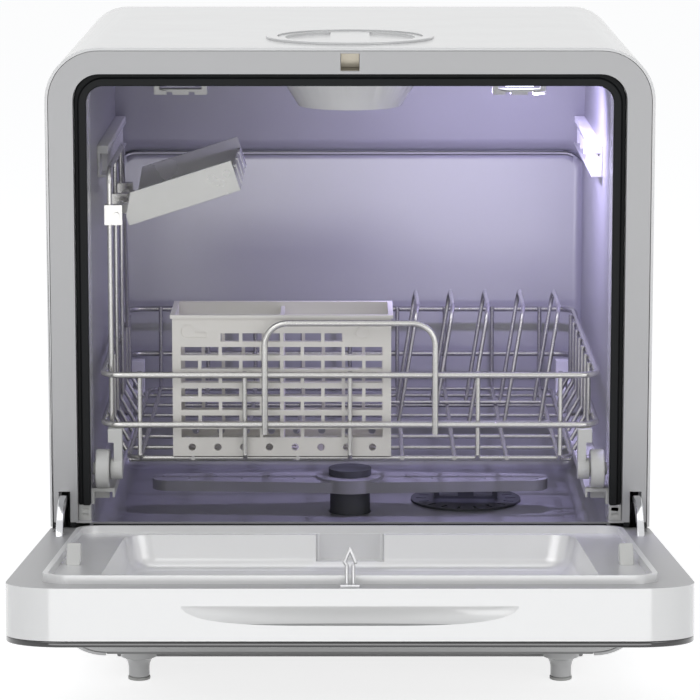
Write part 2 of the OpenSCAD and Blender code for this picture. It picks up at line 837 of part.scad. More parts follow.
module wash_pump()
    color("#b9bbbd")
        from_front() {
            rod_x(pump_x0, pump_x1 - 26, pump_y, pump_z, 52);
            rod_x(pump_x1 - 26, pump_x1, pump_y, pump_z, 56);
            rod_x(pump_x0 - 8, pump_x0, pump_y, pump_z, 30);
            rod_x(pump_x1, pump_x1 + 8, pump_y, pump_z, 24);
            for (x = [pump_x0 + 10, pump_x0 + 60])
                box(x - 4, x + 4, pump_y - 18, pump_y + 18, shell_base + base_t, pump_z - 18);
        }

module drain_pump()
    color("#c9cbcc")
        from_front() {
            rod_y(sump_x, drain_pump_y - 26, drain_pump_y + 26, pump_z, 40);
            rod_y(sump_x, drain_pump_y - 40, drain_pump_y - 26, pump_z, 26);
            box(sump_x - 12, sump_x + 12, drain_pump_y - 20, drain_pump_y + 10, shell_base + base_t,
                pump_z - 14);
        }

module heater()
    color("#d0d2d4")
        from_front() {
            rod_x(heater_x0, heater_x1, heater_y, pump_z, 36);
            for (x = [heater_x0 - 6, heater_x1])
                rod_x(x, x + 6, heater_y, pump_z, 44);
            for (x = [heater_x0 + 20, heater_x1 - 20])
                box(x - 4, x + 4, heater_y - 10, heater_y + 10, shell_base + base_t, pump_z - 16);
        }

pipe_d = 15;
drain_pipe_d = 11;
pipe_r = 12;
side_pipe_x = pump_x0 - 20;
sump_pipe_x = sump_x - 20;
drain_pump_x = sump_x + 20;
drain_pump_y = sump_y + 90;
drain_pipe_x = half_w - 60;
drain_pipe_y = tub_depth + 20;

// A quarter bend of pipe whose centre of curvature is given, from one angle to the next.
module pipe_bend(x, y, from, d)
    translate([x, y, pump_z]) rotate(from) wire_bend(pipe_r, d);

// Rubber pipes from the sump to the heater, from there to the wash pump, and out to the drain.
module pipework()
    color("#4b4d50")
        from_front() {
            rod_y(sump_pipe_x, heater_y + pipe_r, sump_y - sump_r - 2, pump_z, pipe_d);
            pipe_bend(sump_pipe_x - pipe_r, heater_y + pipe_r, 270, pipe_d);
            rod_x(heater_x1 + 6, sump_pipe_x - pipe_r, heater_y, pump_z, pipe_d);

            rod_x(side_pipe_x + pipe_r, heater_x0 - 6, heater_y, pump_z, pipe_d);
            pipe_bend(side_pipe_x + pipe_r, heater_y + pipe_r, 180, pipe_d);
            rod_y(side_pipe_x, heater_y + pipe_r, pump_y - pipe_r, pump_z, pipe_d);
            pipe_bend(side_pipe_x + pipe_r, pump_y - pipe_r, 90, pipe_d);

            rod_x(pump_x1 + 8, -pipe_r, pump_y, pump_z, pipe_d);
            pipe_bend(-pipe_r, pump_y - pipe_r, 0, pipe_d);
            rod_y(0, hub_y + hub_d / 2 + gap, pump_y - pipe_r, pump_z, pipe_d);

            rod_x(drain_pump_x, drain_pipe_x - pipe_r, drain_pump_y, pump_z, drain_pipe_d);
            pipe_bend(drain_pipe_x - pipe_r, drain_pump_y + pipe_r, 270, drain_pipe_d);
            rod_y(drain_pipe_x, drain_pump_y + pipe_r, drain_pipe_y - pipe_r, pump_z, drain_pipe_d);
            pipe_bend(drain_pipe_x - pipe_r, drain_pipe_y - pipe_r, 0, drain_pipe_d);
            rod_x(drain_x + pipe_r, drain_pipe_x - pipe_r, drain_pipe_y, pump_z, drain_pipe_d);
            pipe_bend(drain_x + pipe_r, drain_pipe_y + pipe_r, 180, drain_pipe_d);
            rod_y(drain_x, drain_pipe_y + pipe_r, rear_y - 8, pump_z, drain_pipe_d);
        }

board_x1 = half_w - 40;
board_x0 = board_x1 - 72;
board_y = 20;
board_z = shell_base + base_t + 4;

// The control board stands on a plastic foot and carries two relays.
module power_board()
    color("#3f6b4f")
        from_front() {
            box(board_x0 + 2, board_x1 - 2, board_y, board_y + 4, board_z, board_z + 50);
            for (x = [board_x0 + 10, board_x0 + 36])
                box(x, x + 18, board_y + 4, board_y + 24, board_z + 6, board_z + 32);
            box(board_x0, board_x1, board_y - 2, board_y + 26, shell_base + base_t, board_z);
        }

// ---- Back connections ----

module rear_inlet()
    color("#c8cacb")
        from_front()
            difference() {
                union() {
                    rod_y(inlet_x, rear_y - 10, cabinet_d + 14, inlet_z, inlet_d);
                    rod_y(inlet_x, rear_y - 4, collar_y, inlet_z, inlet_d + 4);
                    rod_y(inlet_x, rear_y - 4, rear_y, inlet_z, inlet_d + 12);
                }
                rod_y(inlet_x, rear_y, cabinet_d + 15, inlet_z, inlet_d - 8);
            }

module drain_spigot()
    color("#7c7e82")
        from_front()
            difference() {
                union() {
                    rod_y(drain_x, rear_y - 8, cabinet_d + spigot_out - 2, drain_z, spigot_d);
                    rod_y(drain_x, rear_y - 4, collar_y, drain_z, spigot_d + 4);
                    rod_y(drain_x, rear_y - 4, rear_y, drain_z, spigot_d + 12);
                }
                rod_y(drain_x, rear_y - 9, cabinet_d + spigot_out, drain_z, spigot_d - 5);
            }

module cord_gland()
    color("#3a3c3e")
        from_front()
            difference() {
                union() {
                    rod_y(gland_x, rear_y - 3, cabinet_d + 5, inlet_z, gland_d + 7);
                    rod_y(gland_x, rear_y + rear_panel_t, cabinet_d + 1.2, inlet_z, gland_d + 12);
                }
                rod_y(gland_x, rear_y - 4, cabinet_d + 6, inlet_z, gland_d);
            }

// ---- Door ----

module ear_outline() {
    translate([-pivot_out, pivot_z]) circle(ear_r);
    translate([-pivot_out, pivot_z - 7]) square([40, 14]);
    translate([16, pivot_z - 33]) square([46, 80]);
}

module hinge_brackets()
    color("#8f9194")
        from_front()
            both_sides()
                difference() {
                    along_x(ear_x, ear_x + ear_t) ear_outline();
                    rod_x(ear_x - over, ear_x + ear_t + over, -pivot_out, pivot_z, pin_d + 2 * pin_clear);
                    for (z = [pivot_z - 24, pivot_z + 38])
                        rod_x(ear_x - over, ear_x + ear_t + over, 50, z, 4.4);
                }

module door_outline()
    intersection() {
        arched(half_w, door_bottom, cabinet_top, door_corner);
        rounded(-half_w, half_w, door_bottom, cabinet_top, 6);
    }

module door_window(grow)
    rounded(-rim_half + 4 - grow, rim_half - 4 + grow, rim_bottom + 4 - grow, rim_top - 4 + grow, 12 + grow);

// A quarter-round scoop with a sharp edge towards the cabinet and a floor that rises to the front.
module grip_scoop()
    translate([0, grip_y, cabinet_top + grip_r])
        rotate([90, 0, 0])
            rotate(255)
                rotate_extrude(angle = 30)
                    intersection() {
                        translate([grip_r, 0]) circle(grip_h);
                        translate([grip_r - 2 * grip_h, 0]) square([4 * grip_h, 2 * grip_h]);
                    }

module door_frame()
    color("#ececec")
        on_door()
            difference() {
                along_y(frame_back, face_y) door_outline();
                along_y(frame_back - over, over) door_window(0);
                // the hollow back of the frame, behind its face and its edge
                along_y(frame_back - over, face_y - 3)
                    difference() {
                        intersection() {
                            arched(half_w - 3, pivot_z + 50, cabinet_top - 18, door_corner - 3);
                            translate([-half_w, pivot_z + 50]) square([2 * half_w, cabinet_top]);
                        }
                        door_window(3);
                    }
                grip_scoop();
                both_sides() {
                    // slot for the bracket's ear
                    box(ear_x - gap, ear_x + ear_t + gap, -pivot_out - ear_r - 1.2, over, door_bottom - over,
                        pivot_z + ear_r + 1.2);
                    // pocket for the hinge arm's root
                    box(arm_x - arm_w / 2, arm_x + arm_w / 2, -pivot_out, over, pivot_z + 20,
                        pivot_z + arm_r + arm_t);
                    rod_x(ear_x - 8, half_w - 1.4, -pivot_out, pivot_z, pin_d);
                }
            }

module door_panel()
    color("#0d0e10")
        on_door()
            along_y(door_out, frame_back - 0.1) door_outline();

// The basin pressed into the liner: sloping walls all round, and round corners.
module basin(grow)
    intersection() {
        along_z_profile(grow);
        along_y(face_y - basin_h - grow * liner_t, over)
            rounded(-basin_half - grow * liner_t, basin_half + grow * liner_t, basin_bottom - grow * liner_t,
                    basin_top + grow * liner_t, basin_corner + grow * liner_t);
        along_x(-half_w, half_w)
            polygon([
                [over * (1 - grow) + face_y, basin_bottom - grow * liner_t],
                [face_y - basin_h - grow * liner_t, basin_bottom + basin_slope - grow * liner_t],
                [face_y - basin_h - grow * liner_t, basin_top - basin_slope + grow * liner_t],
                [over * (1 - grow) + face_y, basin_top + grow * liner_t]]);
    }

module along_z_profile(grow)
    translate([0, 0, door_bottom])
        linear_extrude(cabinet_top - door_bottom)
            polygon([
                [-basin_half - grow * liner_t, over * (1 - grow) + face_y],
                [basin_half + grow * liner_t, over * (1 - grow) + face_y],
                [basin_half - basin_slope + grow * liner_t, face_y - basin_h - grow * liner_t],
                [-basin_half + basin_slope - grow * liner_t, face_y - basin_h - grow * liner_t]]);

// A clipped-on trim holds the liner and carries the rib that meets the gasket. It comes in four
// straight lengths and four corners.
module liner_trim()
    difference() {
        union() {
            along_y(face_y + rib_gap, face_y + rim_h)
                difference() {
                    rounded(-rim_half, rim_half, rim_bottom, rim_top, rim_corner);
                    rounded(-rim_half + rim_w, rim_half - rim_w, rim_bottom + rim_w, rim_top - rim_w,
                            rim_corner - rim_w);
                }
            along_y(face_y + rib_gap, face_y + 1)
                difference() {
                    rounded(-rim_half + 1, rim_half - 1, rim_bottom + 1, rim_top - 1, rim_corner - 1);
                    door_window(-2);
                }
        }
        for (x = [-rim_half + rim_corner, rim_half - rim_corner])
            box(x - rib_gap / 2, x + rib_gap / 2, face_y - over, face_y + 2 * rim_h, rim_bottom - over,
                rim_top + over);
        for (z = [rim_bottom + rim_corner, rim_top - rim_corner])
            box(-rim_half - over, rim_half + over, face_y - over, face_y + 2 * rim_h, z - rib_gap / 2,
                z + rib_gap / 2);
    }

module door_liner()
    color("#d2d2d2")
        on_door() {
            liner_trim();
            difference() {
                union() {
                    along_y(face_y - liner_t, face_y) door_window(-0.2);
                    basin(1);
                    box(-pocket_half - liner_t, pocket_half + liner_t, face_y - 18 - liner_t,
                        face_y - liner_t, basin_bottom - 6 - liner_t, basin_bottom + 16);
                }
                basin(0);
                box(-pocket_half, pocket_half, face_y - 18, face_y + over + 8, basin_bottom - 6,
                    basin_bottom + 20);
            }
        }

module stop_blocks()
    color("#d4d4d2")
        on_door()
            both_sides()
                along_x(stop_x - stop_w / 2, stop_x + stop_w / 2)
                    polygon([
                        [face_y, stop_z], [face_y + stop_h, stop_z + 2], [face_y + stop_h, stop_z + 6],
                        [face_y, stop_z + 16]]);

module latch_striker()
    color("#b8babd")
        on_door()
            translate([0, face_y, latch_z]) {
                box(-5.8, 5.8, 0, 1.6, -5, 5);
                wire_path([[-2, 1, 0], [-2, 13, 0], [-3.3, 15, 0], [0, 23, 0], [3.3, 15, 0], [2, 13, 0],
                           [2, 1, 0]], 2.2);
            }

// A curved arm that follows its own circle about the hinge axis, from the door into the cabinet.
module hinge_arms()
    color("#c9ccd0")
        on_door()
            both_sides()
                translate([arm_x - arm_w / 2, -pivot_out, pivot_z])
                    rotate([90, 0, 90])
                        rotate(-17)
                            rotate_extrude(angle = 94)
                                translate([arm_r - arm_t / 2, 0])
                                    square([arm_t, arm_w]);

module hinge_pins()
    color("#77797c")
        on_door()
            both_sides()
                rod_x(ear_x - 8, half_w - 1.4, -pivot_out, pivot_z, pin_d);

// ---- Rack ----

module rack_rails()
    color("#bdb9b2")
        from_front()
            for (z = [rack_low_z, rack_top_z])
                wire_loop(rack_half, rack_in, rack_back, z, rack_corner, rail_wire);

module rack_front_wires()
    color("#bdb9b2")
        from_front()
            for (x = front_post_x)
                wire_path([[x, rack_in + wire_in, rack_top_z + 2], [x, rack_in + wire_in, rack_floor_z + 4],
                           [x, rack_in + wire_in + 4, rack_floor_z]], wire);

module rack_back_wires()
    color("#bdb9b2")
        from_front()
            for (i = [-4 : 4])
                wire_path([[i * post_x / 4, rack_back - wire_in, rack_top_z + 2],
                           [i * post_x / 4, rack_back - wire_in, rack_floor_z + 4],
                           [i * post_x / 4, rack_back - wire_in - 4, rack_floor_z]], wire);

module rack_side_wires()
    color("#bdb9b2")
        from_front()
            both_sides()
                for (y = [rack_in + 40 : 35 : rack_back - 38])
                    wire_path([[rack_half - wire_in, y, rack_top_z + 2],
                               [rack_half - wire_in, y, rack_low_z - 8],
                               [floor_half + wire, y, rack_floor_z]], wire);

module rack_floor()
    color("#bdb9b2")
        from_front() {
            for (i = [-4 : 4])
                rod_y(i * post_x / 4, rack_in + wire_in + 6, rack_back - wire_in - 6, rack_floor_z, wire);
            for (y = [rack_in + 22 : 41 : rack_back - 20])
                rod_x(-floor_half, floor_half, y, rack_floor_z - wire + 0.2, wire);
            wire_loop(floor_half, rack_in + wire_in + 8, rack_back - wire_in - 8, rack_floor_z, 12, wire);
        }

module rack_handle()
    color("#b0aca6")
        from_front()
            wire_arch(-handle_half, handle_half, rack_in - rail_wire, rack_low_z - 6, handle_top, handle_r,
                      rail_wire);

brace_r = 10;
brace_slope = 72;
brace_y = upright_y[2] + 12;

// The top wire joins the uprights and then runs down to the top rail.
module upright_brace() {
    start = [upright_x, brace_y + brace_r * sin(brace_slope), upright_z - brace_r * (1 - cos(brace_slope))];
    drop = start[2] - rack_top_z;
    rod_z(upright_x, upright_y[0], rack_low_z - 4, upright_z - brace_r, upright_d);
    side_bend(upright_x, upright_y[0] + brace_r, upright_z - brace_r, brace_r, upright_d, 90, 180);
    rod_y(upright_x, upright_y[0] + brace_r, brace_y, upright_z, upright_d);
    side_bend(upright_x, brace_y, upright_z - brace_r, brace_r, upright_d, 90 - brace_slope, 90);
    wire_between(start, start + [0, drop / tan(brace_slope), -drop], upright_d);
}

// Holds the shelf's hinge rod to an upright.
module rod_clip(y)
    difference() {
        box(upright_x - 3.4, shelf_pivot_x + 4, y - 4, y + 4, shelf_pivot_z - 7, shelf_pivot_z + 7);
        box(shelf_pivot_x - 1, shelf_pivot_x + 5, y - 2, y + 2, shelf_pivot_z - 8, shelf_pivot_z - 4);
    }

module rack_uprights()
    color("#bdb9b2")
        from_front() {
            upright_brace();
            for (y = [upright_y[1], upright_y[2]])
                rod_z(upright_x, y, rack_low_z - 4, upright_z - 1, wire);
            rod_y(shelf_pivot_x, upright_y[0] - 6, upright_y[2] + 6, shelf_pivot_z, shelf_pin_d);
            for (y = upright_y)
                rod_clip(y);
        }

tine_y = rack_in + 165;
tine_half = 41;
tine_h = 88;
tine_lean = 9;
first_tine_x = rack_half - 138;
tine_bar = wire + 0.4;
tine_bar_z = rack_floor_z + (wire + tine_bar) / 2;

// Leaning loops of wire on two bars that lie across the floor wires.
module plate_tines()
    color("#bdb9b2")
        from_front() {
            for (y = [tine_y - tine_half, tine_y + tine_half])
                rod_x(first_tine_x - 8, first_tine_x + (tine_count - 1) * tine_pitch + 8, y, tine_bar_z,
                      tine_bar);
            for (i = [0 : tine_count - 1])
                translate([first_tine_x + i * tine_pitch, tine_y, tine_bar_z])
                    rotate([0, tine_lean, 0])
                        rotate(90)
                            wire_arch(-tine_half, tine_half, 0, 0, tine_h, 12, wire);
        }

module wheel_bracket(y) {
    rod_x(wheel_x - wheel_w / 2 - 9, wheel_x - wheel_w / 2 - 0.5, y, axle_z, 15);
    rod_x(wheel_x - wheel_w / 2 - 9, wheel_x + wheel_w / 2 + 0.8, y, axle_z, axle_d);
    rod_x(wheel_x + wheel_w / 2 + gap, wheel_x + wheel_w / 2 + 2.2, y, axle_z, 9);
    box(wheel_x - wheel_w / 2 - 9, wheel_x - wheel_w / 2 - 3, y - 5, y + 5, axle_z, rack_low_z - 4);
    box(wheel_x - wheel_w / 2 - 9, rack_half - wire_in, y - 5, y + 5, rack_low_z - 12,
        rack_low_z - rail_wire / 2);
}

module wheel_brackets()
    color("#c9c7c2")
        from_front()
            both_sides()
                for (y = [wheel_front_y, wheel_rear_y])
                    wheel_bracket(y);

module wheel(side, y)
    from_front()
        translate([side * wheel_x, y, axle_z])
            rotate([0, 90, 0])
                difference() {
                    rotate_extrude()
                        polygon([
                            [axle_d / 2 + pin_clear, -wheel_w / 2], [6.5, -wheel_w / 2], [7.5, -1.6],
                            [wheel_d / 2 - 3, -1.6], [wheel_d / 2 - 2.6, -wheel_w / 2],
                            [wheel_d / 2 - 0.8, -wheel_w / 2], [wheel_d / 2, -wheel_w / 2 + 0.8],
                            [wheel_d / 2, wheel_w / 2 - 0.8], [wheel_d / 2 - 0.8, wheel_w / 2],
                            [wheel_d / 2 - 2.6, wheel_w / 2], [wheel_d / 2 - 3, 1.6], [7.5, 1.6],
                            [6.5, wheel_w / 2], [axle_d / 2 + pin_clear, wheel_w / 2]]);
                    for (a = [0 : 60 : 300])
                        rotate(a) translate([9.2, 0, -5]) cylinder(h = 10, d = 2.2);
                }

module wheel_front_left() color("#dcdcd8") wheel(-1, wheel_front_y);

module wheel_front_right() color("#dcdcd8") wheel(1, wheel_front_y);

module wheel_rear_left() color("#dcdcd8") wheel(-1, wheel_rear_y);

module wheel_rear_right() color("#dcdcd8") wheel(1, wheel_rear_y);

// ---- Cutlery basket ----

window_rows = 8;
window_h = 6;
window_pitch = 9.8;
window_w = 26;
window_bar = 2.4;
band_h = 13.4;
panel_w = 34;
stud_d = 8;

// Rows of slots, each row half a slot along from the one below. The top row leaves the ends closed.
module brick_windows(length, margin, closed) {
    slots = max(1, round((length - 2 * margin + window_bar) / (window_w + window_bar)));
    pitch = (length - 2 * margin + window_bar) / slots;
    for (row = [0 : window_rows - 1], i = [0 : slots - 1 + row % 2]) {
        side = row == window_rows - 1 ? closed : margin;
        left = margin + (i - (row % 2) / 2) * pitch;
        low = max(side, left);
        high = min(length - side, left + pitch - window_bar);
        if (high - low > 4)
            translate([low, band_h + row * window_pitch]) square([high - low, window_h]);
    }
}

// A shallow keyhole at one end takes the stud at the other end of a second basket.
module keyhole(x, z, depth) {
    rod_y(x, -over, depth, z, stud_d + 1.6);
    box(x, x + 13, -over, depth, z - 4.6, z - 0.6);
}

module cutlery_basket()
    color("#c6c2ba")
        from_front()
            translate([basket_x, basket_y, basket_z]) {
                difference() {
                    union() {
                        cube([basket_w, basket_d, basket_h]);
                        translate([-1.4, -1.4, basket_h - 2.4]) cube([basket_w + 2.8, basket_d + 2.8, 2.4]);
                    }
                    translate([basket_wall, basket_wall, 3])
                        cube([basket_w - 2 * basket_wall, basket_d - 2 * basket_wall, basket_h]);
                    along_y(-over, basket_d + over) brick_windows(basket_w, 6, panel_w);
                    along_x(-over, basket_w + over) brick_windows(basket_d, 6, 6);
                    for (x = [13.5 : 18.2 : basket_w - 10])
                        rod_y(x, -3, basket_d + 3, 6.4, 5.2);
                    for (x = [8 : 14 : basket_w - 14], y = [8 : 12 : basket_d - 12])
                        translate([x, y, -over]) cube([9, 7, 5]);
                    keyhole(11, basket_h - 11.6, 0.8);
                }
                box((basket_w - 1.2 * basket_wall) / 2, (basket_w + 1.2 * basket_wall) / 2, basket_wall,
                    basket_d - basket_wall, 2, basket_h - 3);
                rod_y(basket_w - 20.5, -1.6, basket_wall / 2, basket_h - 12.4, stud_d);
            }

// ---- Cup shelf ----

// The end wall leans back at the hinge, so that the shelf clears the uprights when it folds up.
module shelf_end()
    polygon([[6, -10], [shelf_w, -10], [shelf_w, shelf_h - 10], [14, shelf_h - 10], [6, -3]]);

module cup_shelf()
    color("#e2e2dc")
        from_front()
            translate([shelf_pivot_x, shelf_y, shelf_pivot_z])
                rotate([0, -shelf_tilt, 0])
                    difference() {
                        union() {
                            box(6, shelf_w, 0, shelf_len, -10, -7.6);
                            for (y = [0, shelf_len - shelf_wall])
                                along_y(y, y + shelf_wall) shelf_end();
                            box(6, 6 + shelf_wall, 0, shelf_len, -10, -3);
                            box(shelf_w - shelf_wall, shelf_w, 0, shelf_len, -10, 4);
                            for (y = [32, 94])
                                rod_y(0, y, y + 14, 0, 8);
                            for (y = [32, 94])
                                box(0, 7, y, y + 14, -4, 2);
                        }
                        rod_y(0, -over, shelf_len + over, 0, shelf_pin_d + 2 * pin_clear);
                        for (y = [12 : 12 : shelf_len - 14])
                            box(16, shelf_w - 12, y, y + 6, -11, -7);
                        for (y = [36, 75, 114])
                            translate([shelf_w, y, -11]) cylinder(h = 20, d = 14);
                    }

outer_shell();
front_frame();
plinth();
base_tray();
rear_panel();
panel_screws();
feet();
foot_pads();
leak_pan();
tub();
door_gasket();
sill_seal();
gasket_ends();
track_left();
track_right();
upper_rail_left();
upper_rail_right();
lamp_bracket_left();
lamp_bracket_right();
lamp_lens();
latch_catch();
fill_funnel();
fill_cap();
fill_duct();
water_tank();
sump();
filter();
spray_hub();
spray_arm();
wash_pump();
drain_pump();
heater();
pipework();
power_board();
hinge_brackets();
rear_inlet();
drain_spigot();
cord_gland();
door_frame();
door_panel();
door_liner();
stop_blocks();
latch_striker();
hinge_arms();
hinge_pins();
rack_rails();
rack_front_wires();
rack_side_wires();
rack_back_wires();
rack_floor();
rack_handle();
rack_uprights();
plate_tines();
wheel_brackets();
wheel_front_left();
wheel_front_right();
wheel_rear_left();
wheel_rear_right();
cutlery_basket();
cup_shelf();
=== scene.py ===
import json
import math

import bpy
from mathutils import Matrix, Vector

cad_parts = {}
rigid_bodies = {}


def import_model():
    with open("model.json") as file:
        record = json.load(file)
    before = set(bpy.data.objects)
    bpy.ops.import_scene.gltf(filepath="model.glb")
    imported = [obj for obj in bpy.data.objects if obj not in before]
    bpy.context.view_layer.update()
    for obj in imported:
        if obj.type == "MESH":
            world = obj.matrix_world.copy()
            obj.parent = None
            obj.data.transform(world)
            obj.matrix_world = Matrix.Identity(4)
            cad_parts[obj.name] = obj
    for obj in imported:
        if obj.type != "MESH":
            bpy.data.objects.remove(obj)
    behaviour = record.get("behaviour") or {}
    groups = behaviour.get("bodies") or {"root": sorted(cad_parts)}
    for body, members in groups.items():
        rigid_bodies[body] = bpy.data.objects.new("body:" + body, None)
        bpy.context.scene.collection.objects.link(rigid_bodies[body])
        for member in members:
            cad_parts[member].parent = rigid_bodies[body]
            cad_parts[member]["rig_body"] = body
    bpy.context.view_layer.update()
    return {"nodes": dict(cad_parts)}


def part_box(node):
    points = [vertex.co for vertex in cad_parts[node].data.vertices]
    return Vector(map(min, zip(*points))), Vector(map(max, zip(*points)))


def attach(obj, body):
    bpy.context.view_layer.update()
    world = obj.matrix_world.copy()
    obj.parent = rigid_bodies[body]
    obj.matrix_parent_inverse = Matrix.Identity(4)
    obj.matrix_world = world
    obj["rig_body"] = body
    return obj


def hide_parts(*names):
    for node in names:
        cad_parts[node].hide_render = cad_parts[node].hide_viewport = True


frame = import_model()
nodes = frame["nodes"]
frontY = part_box("outer_shell")[0].y
print("frame loaded with", len(nodes), "nodes")


# materials

def feed(target, name, value):
    # a socket takes a field's link or a plain value
    if isinstance(value, Field):
        value.tree.links.new(value.socket, target.inputs[name])
    else:
        target.inputs[name].default_value = value


class Field:
    # one socket of a material, with arithmetic that adds its nodes
    def __init__(self, tree, socket=None):
        self.tree = tree
        self.socket = socket

    def node(self, kind, settings=None, sockets=None, output=0):
        made = self.tree.nodes.new(kind)
        for name, value in (settings or {}).items():
            setattr(made, name, value)
        for name, value in (sockets or {}).items():
            feed(made, name, value)
        return Field(self.tree, made.outputs[output])

    def maths(self, operation, first, second):
        return self.node("ShaderNodeMath", {"operation": operation}, {0: first, 1: second})

    def __add__(self, other):
        return self.maths("ADD", self, other)

    def __sub__(self, other):
        return self.maths("SUBTRACT", self, other)

    def __mul__(self, other):
        return self.maths("MULTIPLY", self, other)

    def __gt__(self, other):
        return self.maths("GREATER_THAN", self, other)

    __radd__ = __add__


def startMaterial(name):
    material = bpy.data.materials.new(name)
    material.use_nodes = True
    tree = material.node_tree
    tree.nodes.clear()
    field = Field(tree)
    shader = tree.nodes.new("ShaderNodeBsdfPrincipled")
    output = tree.nodes.new("ShaderNodeOutputMaterial")
    tree.links.new(shader.outputs[0], output.inputs[0])
    return material, field, shader


def placeOf(field, stretch=(1, 1, 1)):
    place = field.node("ShaderNodeTexCoord", output="Object")
    return field.node("ShaderNodeMapping", None, {"Vector": place, "Scale": stretch})


def noiseAt(field, place, scale, detail=3.0, rough=0.55):
    return field.node("ShaderNodeTexNoise", None,
                      {"Vector": place, "Scale": scale, "Detail": detail, "Roughness": rough})


def blendColours(field, amount, first, second):
    # the mix node keeps its colours at inputs 6 and 7 and at output 2
    first, second = (value if isinstance(value, Field) else (*value, 1) for value in (first, second))
    return field.node("ShaderNodeMix", {"data_type": "RGBA"}, {0: amount, 6: first, 7: second}, output=2)


def addBump(field, shader, strength, depth, height):
    bump = field.node("ShaderNodeBump", None, {"Strength": strength, "Distance": depth, "Height": height})
    feed(shader, "Normal", bump)


# colour, how far the colour wanders, roughness and its wander, grain height in mm and grain size per metre
finishes = {
    "shellWhite": dict(colour=(0.77, 0.77, 0.768), drift=0.015, rough=0.25, wander=0.05, grain=0.02,
                       size=900, coat=0.35),
    "doorWhite": dict(colour=(0.84, 0.84, 0.835), drift=0.01, rough=0.16, wander=0.04, grain=0.01,
                      size=700, coat=0.6),
    "silverPaint": dict(colour=(0.44, 0.44, 0.445), drift=0.04, rough=0.4, wander=0.08, grain=0.03,
                        size=2600, metal=0.35),
    "sealRubber": dict(colour=(0.012, 0.013, 0.014), drift=0.3, rough=0.55, wander=0.15, grain=0.05,
                       size=1200, shine=0.2),
    "tubSatin": dict(colour=(0.47, 0.47, 0.485), drift=0.03, rough=0.33, wander=0.08, grain=0.02,
                     size=800, metal=0.4),
    "linerSatin": dict(colour=(0.76, 0.76, 0.76), drift=0.03, rough=0.3, wander=0.08, grain=0.03,
                       size=1500, metal=0.35),
    # the tub's lip band: its pale colour is a painted highlight for the studio light on the front of the
    # tub's walls
    "lipPaintedHighlight": dict(colour=(0.88, 0.88, 0.89), drift=0.03, rough=0.24, wander=0.08, grain=0.02,
                     size=800, metal=0.5),
    "blackGloss": dict(colour=(0.006, 0.006, 0.007), drift=0.2, rough=0.07, wander=0.05, grain=0.0,
                       size=500, coat=1.0),
    "palePlastic": dict(colour=(0.66, 0.66, 0.64), drift=0.03, rough=0.42, wander=0.1, grain=0.05,
                        size=1800),
    "greyPlastic": dict(colour=(0.40, 0.40, 0.40), drift=0.05, rough=0.5, wander=0.1, grain=0.06,
                        size=1500),
    "darkPlastic": dict(colour=(0.10, 0.105, 0.11), drift=0.12, rough=0.5, wander=0.12, grain=0.08,
                        size=1300),
    "wireCoat": dict(colour=(0.56, 0.555, 0.54), drift=0.05, rough=0.24, wander=0.1, grain=0.03,
                     size=2200, metal=0.8, coat=0.15),
    "basketPlastic": dict(colour=(0.74, 0.72, 0.68), drift=0.04, rough=0.45, wander=0.1, grain=0.05,
                          size=2000),
    "tankMilky": dict(colour=(0.70, 0.73, 0.74), drift=0.04, rough=0.38, wander=0.1, grain=0.04,
                      size=900),
    "boardGreen": dict(colour=(0.03, 0.13, 0.06), drift=0.35, rough=0.4, wander=0.2, grain=0.1,
                       size=600),
}
plasticLook = dict(cloudScale=14.0, cloudShare=0.7, fineDetail=2.0, fineShare=0.3, coatRoughness=0.06,
                   bump=0.35)

# colour, roughness, how the brush lines are stretched, and their scale
metals = {
    "steel": dict(colour=(0.56, 0.56, 0.57), rough=0.32, stretch=(1, 1, 14), scale=260.0),
    "zincSheet": dict(colour=(0.50, 0.51, 0.52), rough=0.42, stretch=(1, 1, 1), scale=60.0),
    "latchMetal": dict(colour=(0.40, 0.37, 0.31), rough=0.3, stretch=(1, 1, 6), scale=300.0),
    "chrome": dict(colour=(0.72, 0.73, 0.75), rough=0.12, stretch=(1, 1, 1), scale=40.0),
}
metalLook = dict(lineDetail=4.0, lineRough=0.7, cloudScale=9.0, darker=0.82, lineWander=0.12,
                 cloudWander=0.08, polish=0.1, bump=0.2, bumpDepth=0.00004)

shelfLook = dict(cloudScale=30.0, fineScale=1400.0, fineDetail=2.0, dark=(0.70, 0.70, 0.67),
                 pale=(0.82, 0.82, 0.80), rough=0.2, wander=0.12, clearness=0.35, refraction=1.46,
                 coat=0.3, bump=0.2, bumpDepth=0.00005)

lensLook = dict(scale=120.0, dark=(0.75, 0.78, 0.9), pale=(0.95, 0.96, 1.0), rough=0.12, wander=0.1,
                violet=(0.6, 0.62, 1.0), white=(1.0, 1.0, 1.0), strength=6.0)


def plasticFinish(name, colour, drift, rough, wander, grain, size, coat=0.0, metal=0.0, shine=0.5):
    look = plasticLook
    material, field, shader = startMaterial(name)
    place = placeOf(field)
    cloud = noiseAt(field, place, look["cloudScale"])
    fine = noiseAt(field, place, float(size), look["fineDetail"])
    darker = tuple(channel * (1 - 2 * drift) for channel in colour)
    paler = tuple(min(1.0, channel * (1 + drift)) for channel in colour)
    mottle = cloud * look["cloudShare"] + fine * look["fineShare"]
    feed(shader, "Base Color", blendColours(field, mottle, darker, paler))
    feed(shader, "Roughness", rough - wander / 2 + cloud * wander)
    feed(shader, "Metallic", metal)
    feed(shader, "Coat Weight", coat)
    feed(shader, "Coat Roughness", look["coatRoughness"])
    feed(shader, "Specular IOR Level", shine)
    if grain:
        addBump(field, shader, look["bump"], grain / 1000, fine)
    return material


